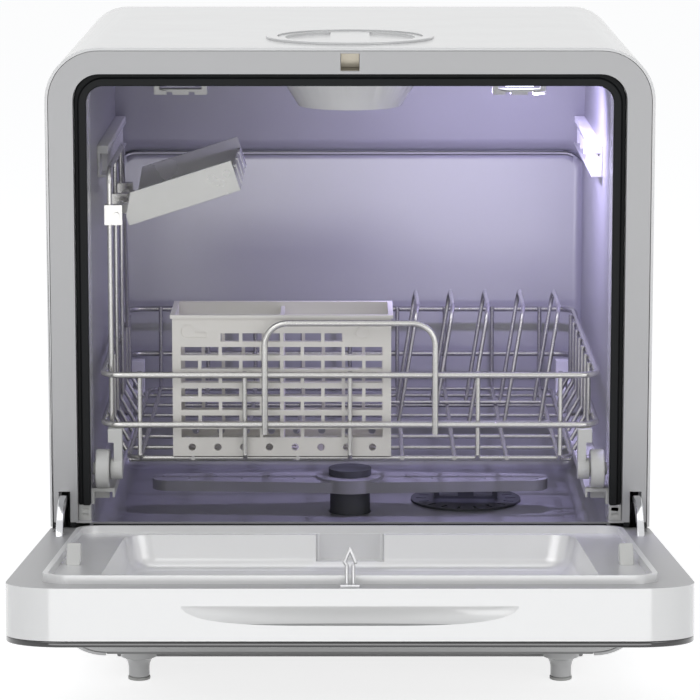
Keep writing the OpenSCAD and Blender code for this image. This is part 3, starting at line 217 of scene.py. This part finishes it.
def brushedFinish(name, colour, rough, stretch, scale):
    # fine lines along the direction that is stretched least
    look = metalLook
    material, field, shader = startMaterial(name)
    lines = noiseAt(field, placeOf(field, stretch), scale, look["lineDetail"], look["lineRough"])
    cloud = noiseAt(field, placeOf(field), look["cloudScale"])
    darker = tuple(channel * look["darker"] for channel in colour)
    feed(shader, "Base Color", blendColours(field, lines, darker, colour))
    feed(shader, "Metallic", 1.0)
    feed(shader, "Roughness",
         rough + lines * look["lineWander"] + cloud * look["cloudWander"] - look["polish"])
    addBump(field, shader, look["bump"], look["bumpDepth"], lines)
    return material


def shelfFinish(name):
    # milky clear plastic that lets some light through
    look = shelfLook
    material, field, shader = startMaterial(name)
    place = placeOf(field)
    cloud = noiseAt(field, place, look["cloudScale"])
    fine = noiseAt(field, place, look["fineScale"], look["fineDetail"])
    feed(shader, "Base Color", blendColours(field, cloud, look["dark"], look["pale"]))
    feed(shader, "Roughness", look["rough"] + cloud * look["wander"])
    feed(shader, "Transmission Weight", look["clearness"])
    feed(shader, "IOR", look["refraction"])
    feed(shader, "Coat Weight", look["coat"])
    addBump(field, shader, look["bump"], look["bumpDepth"], fine)
    return material


def lensFinish(name):
    # the left lens is clear, the right one is lit
    look = lensLook
    material, field, shader = startMaterial(name)
    haze = noiseAt(field, placeOf(field), look["scale"])
    across = field.node("ShaderNodeSeparateXYZ", None, {"Vector": placeOf(field)}, output="X")
    feed(shader, "Base Color", blendColours(field, haze, look["dark"], look["pale"]))
    feed(shader, "Roughness", look["rough"] + haze * look["wander"])
    lit = blendColours(field, haze, look["violet"], look["white"])
    feed(shader, "Emission Color", blendColours(field, across > 0.0, (0, 0, 0), lit))
    feed(shader, "Emission Strength", look["strength"])
    return material


materials = {name: plasticFinish(name, **values) for name, values in finishes.items()}
materials.update({name: brushedFinish(name, **values) for name, values in metals.items()})
materials["shelfClear"] = shelfFinish("shelfClear")
materials["lampLens"] = lensFinish("lampLens")
print("materials made:", len(materials))

nodeFinish = {
    "shellWhite": ["outer_shell", "plinth", "feet", "fill_funnel", "fill_cap"],
    "doorWhite": ["door_frame"],
    "silverPaint": ["front_frame"],
    "sealRubber": ["door_gasket", "sill_seal", "pipework", "cord_gland"],
    "tubSatin": ["tub"],
    "linerSatin": ["door_liner"],
    "blackGloss": ["door_panel"],
    "palePlastic": ["foot_pads", "gasket_ends", "track_left", "track_right", "upper_rail_left",
                    "upper_rail_right", "lamp_bracket_left", "lamp_bracket_right", "stop_blocks",
                    "wheel_brackets", "wheel_front_left", "wheel_front_right", "wheel_rear_left",
                    "wheel_rear_right", "fill_duct", "drain_pump"],
    "greyPlastic": ["leak_pan", "base_tray", "spray_arm", "wash_pump"],
    "darkPlastic": ["sump", "filter", "spray_hub", "drain_spigot"],
    "wireCoat": ["rack_rails", "rack_front_wires", "rack_side_wires", "rack_back_wires", "rack_floor",
                 "rack_handle", "rack_uprights", "plate_tines"],
    "basketPlastic": ["cutlery_basket"],
    "shelfClear": ["cup_shelf"],
    "tankMilky": ["water_tank"],
    "boardGreen": ["power_board"],
    "latchMetal": ["latch_catch"],
    "steel": ["panel_screws", "heater", "hinge_brackets", "hinge_pins", "latch_striker", "rear_inlet"],
    "zincSheet": ["rear_panel"],
    "chrome": ["hinge_arms"],
    "lampLens": ["lamp_lens"],
}


def dress(piece, finish):
    piece.data.materials.clear()
    piece.data.materials.append(materials[finish])


finishOf = {name: finish for finish, names in nodeFinish.items() for name in names}
for name, finish in finishOf.items():
    dress(nodes[name], finish)
print("frame nodes dressed")


# tools for modelling, in metres

spare = 0.01    # how far a cutter reaches past the face that it opens
hair = 1e-5     # how close two places count as one


def startEdit():
    bpy.ops.object.mode_set(mode="EDIT")
    bpy.ops.mesh.select_all(action="SELECT")


def finishEdit():
    bpy.ops.object.mode_set(mode="OBJECT")


def pick(test, kind="EDGE"):
    # selects the edges or faces of the active mesh whose corners pass a test, and stays in edit mode
    bpy.ops.object.mode_set(mode="EDIT")
    bpy.ops.mesh.select_mode(type=kind)
    bpy.ops.mesh.select_all(action="DESELECT")
    finishEdit()
    mesh = bpy.context.object.data
    points = [vertex.co for vertex in mesh.vertices]
    for item in (mesh.edges if kind == "EDGE" else mesh.polygons):
        item.select = bool(test([points[index] for index in item.vertices]))
    bpy.ops.object.mode_set(mode="EDIT")


def splitFaces(point, normal):
    # adds a line of edges where a plane meets the active mesh
    pick(lambda ends: True, "FACE")
    bpy.ops.mesh.bisect(plane_co=point, plane_no=normal)


def useAlone(piece):
    if bpy.context.object and bpy.context.object.mode != "OBJECT":
        finishEdit()
    bpy.ops.object.select_all(action="DESELECT")
    piece.select_set(True)
    bpy.context.view_layer.objects.active = piece


def applyPlace():
    bpy.ops.object.transform_apply(location=True, rotation=True, scale=True)


def block(name, low, high):
    # a box between two corners
    bpy.ops.object.select_all(action="DESELECT")
    middle = [(a + b) / 2 for a, b in zip(low, high)]
    bpy.ops.mesh.primitive_cube_add(size=1, location=middle)
    piece = bpy.context.object
    piece.name = name
    piece.scale = [b - a for a, b in zip(low, high)]
    applyPlace()
    return piece


def roundEdges(piece, test, radius, segments):
    useAlone(piece)
    pick(test)
    bpy.ops.mesh.bevel(offset=radius, segments=segments, profile=0.5, affect="EDGES")
    finishEdit()


def alongY(ends, tolerance=1e-6):
    return abs(ends[0].x - ends[1].x) < tolerance and abs(ends[0].z - ends[1].z) < tolerance


def cut(piece, cutter, operation="DIFFERENCE"):
    useAlone(piece)
    modifier = piece.modifiers.new("cut", "BOOLEAN")
    modifier.operation = operation
    modifier.solver = "EXACT"
    modifier.object = cutter
    bpy.ops.object.modifier_apply(modifier="cut")
    bpy.data.objects.remove(cutter)


def cutSides(piece, name, across, half, front, back, low, high):
    # the same box cut out on the left and on the right
    for side in (-1, 1):
        cut(piece, block(name, (side * across - half, front, low), (side * across + half, back, high)))


def soften(piece, width, segments, angle):
    useAlone(piece)
    modifier = piece.modifiers.new("edges", "BEVEL")
    modifier.width = width
    modifier.segments = segments
    modifier.limit_method = "ANGLE"
    modifier.angle_limit = math.radians(angle)
    modifier.miter_outer = "MITER_ARC"
    bpy.ops.object.modifier_apply(modifier="edges")


def weld(piece, flatten=False):
    # joins doubled points, merges level faces where asked, and turns every face outwards
    useAlone(piece)
    startEdit()
    bpy.ops.mesh.remove_doubles(threshold=2e-6)
    if flatten:
        bpy.ops.mesh.dissolve_limited(angle_limit=math.radians(0.5))
    bpy.ops.mesh.normals_make_consistent(inside=False)
    finishEdit()


def mount(piece, node, smoothAngle=40):
    # the piece takes the place, the body, the finish and the material slot of a frame node
    weld(piece)
    bpy.ops.object.shade_smooth_by_angle(angle=math.radians(smoothAngle))
    modifier = piece.modifiers.new("flats", "WEIGHTED_NORMAL")
    modifier.keep_sharp = True
    bpy.ops.object.modifier_apply(modifier="flats")
    dress(piece, finishOf[node])
    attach(piece, nodes[node]["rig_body"])
    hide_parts(node)


def softCopy(node, width, segments=2, angle=35, flatten=True):
    # the frame's own shape with rounded edges
    piece = bpy.data.objects.new(node.title().replace("_", "") + "Soft", nodes[node].data.copy())
    bpy.context.collection.objects.link(piece)
    weld(piece, flatten)
    soften(piece, width, segments, angle)
    mount(piece, node)


def middleOf(node):
    low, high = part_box(node)
    return (low + high) / 2


def halfWidth(node):
    low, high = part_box(node)
    return (high.x - low.x) / 2


def holeCutter(name, node, radius, height, reach):
    # an upright cylinder over the middle of a node
    bpy.ops.object.select_all(action="DESELECT")
    middle = middleOf(node)
    bpy.ops.mesh.primitive_cylinder_add(radius=radius, depth=2 * reach, vertices=96,
                                        location=(middle.x, middle.y, height))
    piece = bpy.context.object
    piece.name = name
    applyPlace()
    return piece


# outer shell

shell = dict(corner=0.037, rearRadius=0.020, wall=0.002, flange=0.014, holeRadius=0.023, lip=0.00095,
             trayGap=0.0003, rearLedge=0.0005, funnelLap=0.004)
hingeNotch = dict(across=0.214, half=0.006, front=frontY - 0.002, back=frontY + 0.013, low=0.0733,
                  high=0.119)


def shellBlock(name, inset, forward):
    # the cabinet's rounded block with its rounded upper rear edge, smaller all round by an inset
    low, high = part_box("outer_shell")
    top, rear = high.z - inset, high.y - inset
    piece = block(name, (low.x + inset, low.y - forward, low.z + inset), (high.x - inset, rear, top))
    roundEdges(piece, alongY, shell["corner"] - inset, segments=14)
    side = block(name + "Side", (low.x - spare, low.y - forward - spare, low.z - spare),
                 (high.x + spare, rear, top))
    roundEdges(side, lambda ends: all(end.y > rear - hair and end.z > top - hair for end in ends),
               shell["rearRadius"] - inset, segments=10)
    cut(piece, side, "INTERSECT")
    return piece


def makeShell():
    low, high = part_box("outer_shell")
    flange, wall, gap = shell["flange"], shell["wall"], shell["trayGap"]
    piece = shellBlock("shellSkin", inset=0, forward=0)
    cut(piece, shellBlock("shellRoom", inset=wall, forward=spare))
    # the back keeps a flange round its panel, and the bottom is closed by the tray
    opening = block("rearHole", (low.x + flange, high.y - 2 * spare, low.z + flange),
                    (high.x - flange, high.y + spare, high.z - shell["rearRadius"] - flange))
    roundEdges(opening, alongY, shell["holeRadius"], segments=8)
    cut(piece, opening)
    trayLow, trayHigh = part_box("base_tray")
    cut(piece, block("trayHole", (trayLow.x - gap, low.y - spare, low.z - spare),
                     (trayHigh.x + gap, high.y - wall - shell["rearLedge"], low.z + flange)))
    capRadius = halfWidth("fill_funnel") - shell["funnelLap"]
    cut(piece, holeCutter("capHole", "fill_funnel", capRadius, high.z, 2 * spare))
    cutSides(piece, "notch", **hingeNotch)
    soften(piece, shell["lip"], segments=3, angle=50)
    mount(piece, "outer_shell")


makeShell()
print("shell made")


# door, modelled shut with the cabinet's front at zero

hinge = dict(out=0.015, height=0.105, opening=83.0)
door = dict(half=0.210, bottom=0.085, top=0.455, back=-0.0322, face=-0.0004, corner=0.037,
            heelRadius=0.006, edge=0.0042, windowHalf=0.184, windowBottom=0.127, windowTop=0.427,
            windowCorner=0.012, gripHalf=0.1005, gripRise=0.0118, gripOffset=-0.011, gripSweep=30,
            borderFacing=0.93)
earSlot = dict(across=0.2047, half=0.0018, front=-0.0242, back=0.001, low=0.08, high=0.1142)
armPocket = dict(across=0.200, half=0.0025, front=-0.015, back=0.001, low=0.125, high=0.147)


def onDoor(piece):
    # swings a piece that was modelled on the closed door to the open door
    useAlone(piece)
    pivot = (0, -hinge["out"], hinge["height"])
    bpy.ops.transform.rotate(value=-math.radians(hinge["opening"]), orient_axis="X", center_override=pivot)
    bpy.ops.transform.translate(value=(0, frontY, 0))
    applyPlace()


def gripCutter():
    # half a disc swept along a wide arc: a straight brow above, and a floor that curves out below
    half, rise, sweep = door["gripHalf"], door["gripRise"], math.radians(door["gripSweep"])
    radius = (half * half + rise * rise) / (2 * rise)
    centre = Vector((0, door["gripOffset"], door["top"] + radius))
    bpy.ops.object.select_all(action="DESELECT")
    bpy.ops.mesh.primitive_circle_add(vertices=64, radius=rise, fill_type="NGON",
                                      rotation=(0, math.radians(90), 0),
                                      location=(0, centre.y, door["top"]))
    cutter = bpy.context.object
    cutter.name = "gripScoop"
    applyPlace()
    startEdit()
    bpy.ops.mesh.bisect(plane_co=(0, centre.y, 0), plane_no=(0, 1, 0), clear_outer=True, use_fill=False)
    bpy.ops.mesh.select_all(action="SELECT")
    bpy.ops.transform.rotate(value=sweep / 2, orient_axis="Y", center_override=centre)
    bpy.ops.mesh.spin(steps=96, angle=sweep, center=centre, axis=(0, -1, 0))
    weld(cutter)
    return cutter


def makeDoorFrame():
    piece = block("doorBand", (-door["half"], door["back"], door["bottom"]),
                  (door["half"], door["face"], door["top"]))
    middle = (door["bottom"] + door["top"]) / 2
    roundEdges(piece, lambda ends: alongY(ends) and ends[0].z > middle, door["corner"], segments=16)
    roundEdges(piece, lambda ends: alongY(ends) and ends[0].z < middle - door["corner"],
               door["heelRadius"], segments=5)
    window = block("window", (-door["windowHalf"], door["back"] - spare, door["windowBottom"]),
                   (door["windowHalf"], door["face"] + spare, door["windowTop"]))
    roundEdges(window, alongY, door["windowCorner"], segments=8)
    cut(piece, window)
    cut(piece, gripCutter())
    soften(piece, door["edge"], segments=4, angle=40)
    cutSides(piece, "earSlot", **earSlot)
    cutSides(piece, "armPocket", **armPocket)
    onDoor(piece)
    mount(piece, "door_frame", smoothAngle=35)
    # the border round the liner is painted silver, the band that shows at the front stays white
    piece.data.materials.append(materials["silverPaint"])
    opening = math.radians(hinge["opening"])
    inward = Vector((0, math.cos(opening), math.sin(opening)))
    for face in piece.data.polygons:
        face.material_index = 1 if face.normal.dot(inward) > door["borderFacing"] else 0


makeDoorFrame()
print("door band made")


# door liner

liner = dict(half=0.188, bottom=0.123, top=0.431, corner=0.018, rim=0.0035, rimHeight=0.0053,
             plateGap=0.0002, basinHalf=0.158, basinBottom=0.135, basinTop=0.420, slope=0.008, depth=0.024,
             wall=0.002, basinCorner=0.018, basinFloor=0.009, pocketHalf=0.0235, pocketBottom=0.129,
             pocketTop=0.155, pocketLap=0.004, pocketDepth=0.018, pocketCorner=0.003, skin=0.0001,
             edge=0.0009)


def slantedBox(name, grow, extra):
    # a tray-shaped block that narrows with depth
    half, low, high, slope = liner["basinHalf"], liner["basinBottom"], liner["basinTop"], liner["slope"]
    floor, tall = door["face"] - liner["depth"] - grow, high - low
    piece = block(name, (-half - grow, floor, low - grow), (half + grow, door["face"] + extra, high + grow))
    pick(lambda ends: all(end.y < floor + hair for end in ends), "FACE")
    bpy.ops.transform.resize(value=((half - slope) / half, 1, (tall - 2 * slope) / tall))
    finishEdit()
    return piece


def makeLiner():
    face, skin, wall, rim = door["face"], liner["skin"], liner["wall"], liner["rim"]
    half, bottom, top, gap = liner["half"], liner["bottom"], liner["top"], liner["plateGap"]
    piece = block("linerPress", (-half, face, bottom), (half, face + liner["rimHeight"], top))
    roundEdges(piece, alongY, liner["corner"], segments=10)
    recess = block("recess", (-half + rim, face + skin, bottom + rim),
                   (half - rim, face + 2 * spare, top - rim))
    roundEdges(recess, alongY, liner["corner"] - rim, segments=10)
    cut(piece, recess)
    plate = block("plate", (-door["windowHalf"] + gap, face - wall, door["windowBottom"] + gap),
                  (door["windowHalf"] - gap, face + skin / 2, door["windowTop"] - gap))
    roundEdges(plate, alongY, door["windowCorner"] - gap, segments=6)
    cut(piece, plate, "UNION")
    cut(piece, slantedBox("basinOutside", grow=wall, extra=skin / 2), "UNION")
    pocketHalf, pocketBottom, pocketTop = liner["pocketHalf"], liner["pocketBottom"], liner["pocketTop"]
    pocketFloor = face - liner["pocketDepth"]
    cut(piece, block("pocketOutside", (-pocketHalf - wall, pocketFloor - wall, pocketBottom - wall),
                     (pocketHalf + wall, face + skin / 2, pocketTop - liner["pocketLap"])), "UNION")
    basin = slantedBox("basinInside", grow=0, extra=2 * spare)
    roundEdges(basin, lambda ends: abs(ends[0].y - ends[1].y) > liner["depth"] / 2,
               liner["basinCorner"], segments=8)
    roundEdges(basin, lambda ends: all(end.y < face - liner["depth"] + hair for end in ends),
               liner["basinFloor"], segments=5)
    cut(piece, basin)
    hollow = block("pocketInside", (-pocketHalf, pocketFloor, pocketBottom),
                   (pocketHalf, face + 2 * spare, pocketTop))
    roundEdges(hollow, alongY, liner["pocketCorner"], segments=3)
    cut(piece, hollow)
    soften(piece, liner["edge"], segments=3, angle=40)
    onDoor(piece)
    mount(piece, "door_liner", smoothAngle=35)


makeLiner()
print("liner made")


# tub, modelled with the cabinet's front at zero

tub = dict(half=0.182, ceiling=0.430, floor=0.092, back=0.332, corner=0.014, wall=0.0018, sill=0.119,
           sillBack=0.0158, mouth=0.012, flange=0.0116, ductHeight=0.085, ductStep=0.010,
           ductBulge=0.032, ductLean=0.004, ductRadius=0.012, creaseBand=0.002, bend=0.007, band=0.040,
           filterGap=0.0003, hubRadius=0.016, funnelRim=0.009, holeReach=0.006)


def makeTub():
    half, back, ceiling, step = tub["half"], tub["back"], tub["ceiling"], tub["ductStep"]
    air = block("tubPress", (-half, tub["sillBack"], tub["floor"]), (half, back, ceiling))
    # the duct's wedge comes off the space inside, then every inner bend is rounded
    wedge = block("ductWedge", (-half - spare, back - step, ceiling - tub["ductHeight"]),
                  (half + spare, back + 2 * spare, ceiling + 2 * spare))
    pick(lambda ends: all(end.y < back and end.z > ceiling for end in ends))
    bpy.ops.transform.translate(value=(0, step - tub["ductBulge"] - tub["ductLean"], 0))
    finishEdit()
    cut(air, wedge)
    roundEdges(air, alongY, tub["corner"], segments=8)
    roundEdges(air, lambda ends: all(abs(end.y - back + step) < tub["creaseBand"] for end in ends),
               tub["ductRadius"], segments=6)
    roundEdges(air, lambda ends: all(end.y > back - hair for end in ends), tub["bend"], segments=5)
    # open the front above the sill and draw the mouth forward to the seal
    front, sill = tub["sillBack"] + hair, tub["sill"]
    splitFaces((0, 0, sill), (0, 0, 1))
    pick(lambda ends: all(end.y < front and end.z > sill - hair for end in ends), "FACE")
    bpy.ops.mesh.delete(type="FACE")
    pick(lambda ends: all(end.y < front for end in ends) and max(end.z for end in ends) > sill + hair)
    forward = (0, tub["mouth"] - tub["sillBack"], 0)
    bpy.ops.mesh.extrude_region_move(TRANSFORM_OT_translate={"value": forward})
    bpy.ops.mesh.extrude_region_move()
    bpy.ops.transform.resize(value=((half + tub["flange"]) / half, 1, 1))
    finishEdit()
    modifier = air.modifiers.new("wall", "SOLIDIFY")
    modifier.thickness = tub["wall"]
    modifier.offset = 1
    bpy.ops.object.modifier_apply(modifier="wall")
    air.location = (0, frontY, 0)
    applyPlace()
    holes = (("sumpHole", "filter", halfWidth("filter") + tub["filterGap"], tub["floor"]),
             ("hubHole", "spray_arm", tub["hubRadius"], tub["floor"]),
             ("fillHole", "fill_funnel", halfWidth("fill_funnel") - tub["funnelRim"], ceiling))
    for name, node, radius, height in holes:
        cut(air, holeCutter(name, node, radius, height, tub["holeReach"]))
    # the lip round the mouth is a paler band, marked off by a crisp line: a painted highlight for the
    # studio light that falls on the front of the tub's walls
    highlightBandEnd = frontY + tub["band"]
    splitFaces((0, highlightBandEnd, 0), (0, 1, 0))
    finishEdit()
    mount(air, "tub", smoothAngle=45)
    air.data.materials.append(materials["lipPaintedHighlight"])
    for face in air.data.polygons:
        if face.center.y < highlightBandEnd and face.center.z > sill:
            face.material_index = 1


makeTub()
print("tub made")


# feet

foot = dict(stem=0.0075, flare=0.0055, sweep=0.0088, drop=0.009, base=0.002, edge=0.0012)


def footProfile(top):
    # reach and height of each ring, from the pad up to the base
    stem, edge, base, flare = foot["stem"], foot["edge"], foot["base"], foot["flare"]
    root, flareTop = stem + flare, top - foot["drop"]
    profile = []
    for turn in (0, 30, 60, 90):
        angle = math.radians(turn)
        profile.append((stem - edge * (1 - math.sin(angle)), base + edge * (1 - math.cos(angle))))
    for turn in range(0, 91, 9):
        angle = math.radians(turn)
        profile.append((root - flare * math.cos(angle), flareTop - foot["sweep"] * (1 - math.sin(angle))))
    return profile + [(root, top)]


def makeFeet():
    # one foot drawn up ring by ring, and three copies of it under the frame's other places
    low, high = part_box("feet")
    profile = footProfile(high.z)
    reach, height = profile[0]
    root = profile[-1][0]
    bpy.ops.object.select_all(action="DESELECT")
    bpy.ops.mesh.primitive_circle_add(vertices=48, radius=reach, fill_type="NGON",
                                      location=(high.x - root, low.y + root, height))
    piece = bpy.context.object
    piece.name = "footShapes"
    startEdit()
    for nextReach, nextHeight in profile[1:]:
        bpy.ops.mesh.extrude_region_move(TRANSFORM_OT_translate={"value": (0, 0, nextHeight - height)})
        grow = nextReach / reach
        bpy.ops.transform.resize(value=(grow, grow, 1),
                                 center_override=(high.x - root, low.y + root, nextHeight))
        reach, height = nextReach, nextHeight
    finishEdit()
    applyPlace()
    across, along = high.x - low.x - 2 * root, high.y - low.y - 2 * root
    shapes = [piece]
    for shift in ((-across, 0, 0), (0, along, 0), (-across, along, 0)):
        twin = piece.copy()
        twin.data = piece.data.copy()
        bpy.context.collection.objects.link(twin)
        twin.location = shift
        shapes.append(twin)
    useAlone(piece)
    for shape in shapes:
        shape.select_set(True)
    bpy.ops.object.join()
    applyPlace()
    mount(piece, "feet", smoothAngle=50)


makeFeet()
print("feet made")


# pieces that keep the frame's shape and get rounded edges

edgeWidths = {
    "front_frame": 0.0005, "plinth": 0.0006, "door_gasket": 0.0009, "sill_seal": 0.0006,
    "gasket_ends": 0.0005, "track_left": 0.0004, "track_right": 0.0004, "upper_rail_left": 0.0004,
    "upper_rail_right": 0.0004, "fill_funnel": 0.0005, "fill_cap": 0.0006, "spray_arm": 0.0008,
    "spray_hub": 0.0006, "filter": 0.0004, "stop_blocks": 0.0009, "hinge_arms": 0.0007,
    "hinge_brackets": 0.0004, "wheel_brackets": 0.0006, "cup_shelf": 0.0006,
    "wheel_front_left": 0.0003, "wheel_front_right": 0.0003, "wheel_rear_left": 0.0003,
    "wheel_rear_right": 0.0003, "door_panel": 0.0008, "foot_pads": 0.0003,
    "rear_inlet": 0.0005, "drain_spigot": 0.0005, "cord_gland": 0.0005, "panel_screws": 0.0004,
    "leak_pan": 0.0012, "rear_panel": 0.0003, "base_tray": 0.0006, "latch_catch": 0.0003,
}
# thin walls full of openings: one flat chamfer, and their faces stay as they come
chamferWidths = {"cutlery_basket": 0.0004, "lamp_bracket_left": 0.0005, "lamp_bracket_right": 0.0005}

for softNode, width in edgeWidths.items():
    softCopy(softNode, width)
for softNode, width in chamferWidths.items():
    softCopy(softNode, width, segments=1, angle=60, flatten=False)
print("edges rounded on", len(edgeWidths) + len(chamferWidths), "nodes")


# studio

studio = dict(eyeHeight=0.669, eyeDistance=2.443, pitch=9.85, lens=183.4, floorSize=14.0,
              skyColour=(0.9, 0.92, 0.95, 1), skyStrength=0.4, floorDark=(0.86, 0.86, 0.86),
              floorPale=(0.88, 0.88, 0.88), floorRough=0.6, speckScale=40.0,
              seenPaint=(0.47, 0.47, 0.47, 1), seenGlow=0.8)

# place, the point that it faces, its two sides and its power
lamps = {
    "keyLamp": dict(place=(-1.2, -2.0, 1.9), target=(0, 0, 0.25), size=(1.8, 1.4), power=16),
    "fillLamp": dict(place=(1.8, -1.8, 1.0), target=(0, 0, 0.25), size=(1.4, 1.4), power=8),
    "topLamp": dict(place=(0, 0.3, 2.4), target=(0, 0, 0.3), size=(2.0, 1.6), power=9),
    "lowLamp": dict(place=(0, -2.2, 0.12), target=(0, -0.2, 0.1), size=(2.4, 0.3), power=6),
}

# under the lit lens: how far in from its right end, the point in the tub that it faces, and its power
ledShape = dict(colour=(0.62, 0.56, 1.0), size=(0.03, 0.012), below=0.006)
leds = {
    "rightLed": dict(inward=0.012, target=(0.17, frontY + 0.20, 0.26), power=0.9),
    "backLed": dict(inward=0.03, target=(0.05, frontY + 0.33, 0.22), power=0.3),
}


def setCamera():
    data = bpy.data.cameras.new("camera")
    data.lens = studio["lens"]
    camera = bpy.data.objects.new("camera", data)
    camera.location = (0, frontY - studio["eyeDistance"], studio["eyeHeight"])
    camera.rotation_euler = (math.radians(90 - studio["pitch"]), 0, 0)
    bpy.context.collection.objects.link(camera)
    bpy.context.scene.camera = camera


def addLamp(name, place, target, size, power, colour=(1, 1, 1), hidden=False):
    data = bpy.data.lights.new(name, "AREA")
    data.shape = "RECTANGLE"
    data.size, data.size_y = size
    data.energy = power
    data.color = colour
    lamp = bpy.data.objects.new(name, data)
    lamp.location = place
    lamp.visible_camera = lamp.visible_glossy = not hidden
    lamp.rotation_euler = (Vector(target) - Vector(place)).to_track_quat("-Z", "Y").to_euler()
    bpy.context.collection.objects.link(lamp)


def mixForCamera(field, plain, seen):
    # camera rays, and the reflected and refracted ones that metal and clear plastic see, get the second
    camera, glossy, through = (field.node("ShaderNodeLightPath", output=ray) for ray in
                               ("Is Camera Ray", "Is Glossy Ray", "Is Transmission Ray"))
    factor = field.maths("MAXIMUM", field.maths("MAXIMUM", camera, glossy), through)
    mixer = field.tree.nodes.new("ShaderNodeMixShader")
    for index, socket in enumerate((factor.socket, plain, seen)):
        field.tree.links.new(socket, mixer.inputs[index])
    return mixer.outputs[0]


def paleWorld():
    world = bpy.data.worlds.new("studio")
    bpy.context.scene.world = world
    world.use_nodes = True
    tree = world.node_tree
    tree.nodes.clear()
    light = tree.nodes.new("ShaderNodeBackground")
    light.inputs["Color"].default_value = studio["skyColour"]
    light.inputs["Strength"].default_value = studio["skyStrength"]
    backdrop = tree.nodes.new("ShaderNodeBackground")
    backdrop.inputs["Color"].default_value = (1, 1, 1, 1)
    output = tree.nodes.new("ShaderNodeOutputWorld")
    tree.links.new(mixForCamera(Field(tree), light.outputs[0], backdrop.outputs[0]), output.inputs[0])


def paleFloor():
    bpy.ops.object.select_all(action="DESELECT")
    bpy.ops.mesh.primitive_plane_add(size=studio["floorSize"], location=(0, 0, 0))
    floor = bpy.context.object
    floor.name = "floor"
    material, field, shader = startMaterial("floorPaint")
    tree = field.tree
    speck = noiseAt(field, placeOf(field), studio["speckScale"])
    feed(shader, "Base Color", blendColours(field, speck, studio["floorDark"], studio["floorPale"]))
    feed(shader, "Roughness", studio["floorRough"])
    seenPaint = tree.nodes.new("ShaderNodeBsdfDiffuse")
    seenPaint.inputs["Color"].default_value = studio["seenPaint"]
    glow = tree.nodes.new("ShaderNodeEmission")
    glow.inputs["Strength"].default_value = studio["seenGlow"]
    seenFloor = tree.nodes.new("ShaderNodeAddShader")
    tree.links.new(seenPaint.outputs[0], seenFloor.inputs[0])
    tree.links.new(glow.outputs[0], seenFloor.inputs[1])
    output = [node for node in tree.nodes if node.type == "OUTPUT_MATERIAL"][0]
    tree.links.new(mixForCamera(field, shader.outputs[0], seenFloor.outputs[0]), output.inputs[0])
    floor.data.materials.append(material)


def lightStudio():
    for name, values in lamps.items():
        addLamp(name, **values)
    low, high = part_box("lamp_lens")
    for name, values in leds.items():
        place = (high.x - values["inward"], (low.y + high.y) / 2, low.z - ledShape["below"])
        addLamp(name, place, values["target"], ledShape["size"], values["power"], ledShape["colour"],
                hidden=True)


bpy.context.scene.view_settings.view_transform = "Standard"
setCamera()
paleWorld()
paleFloor()
lightStudio()
print("studio lit")
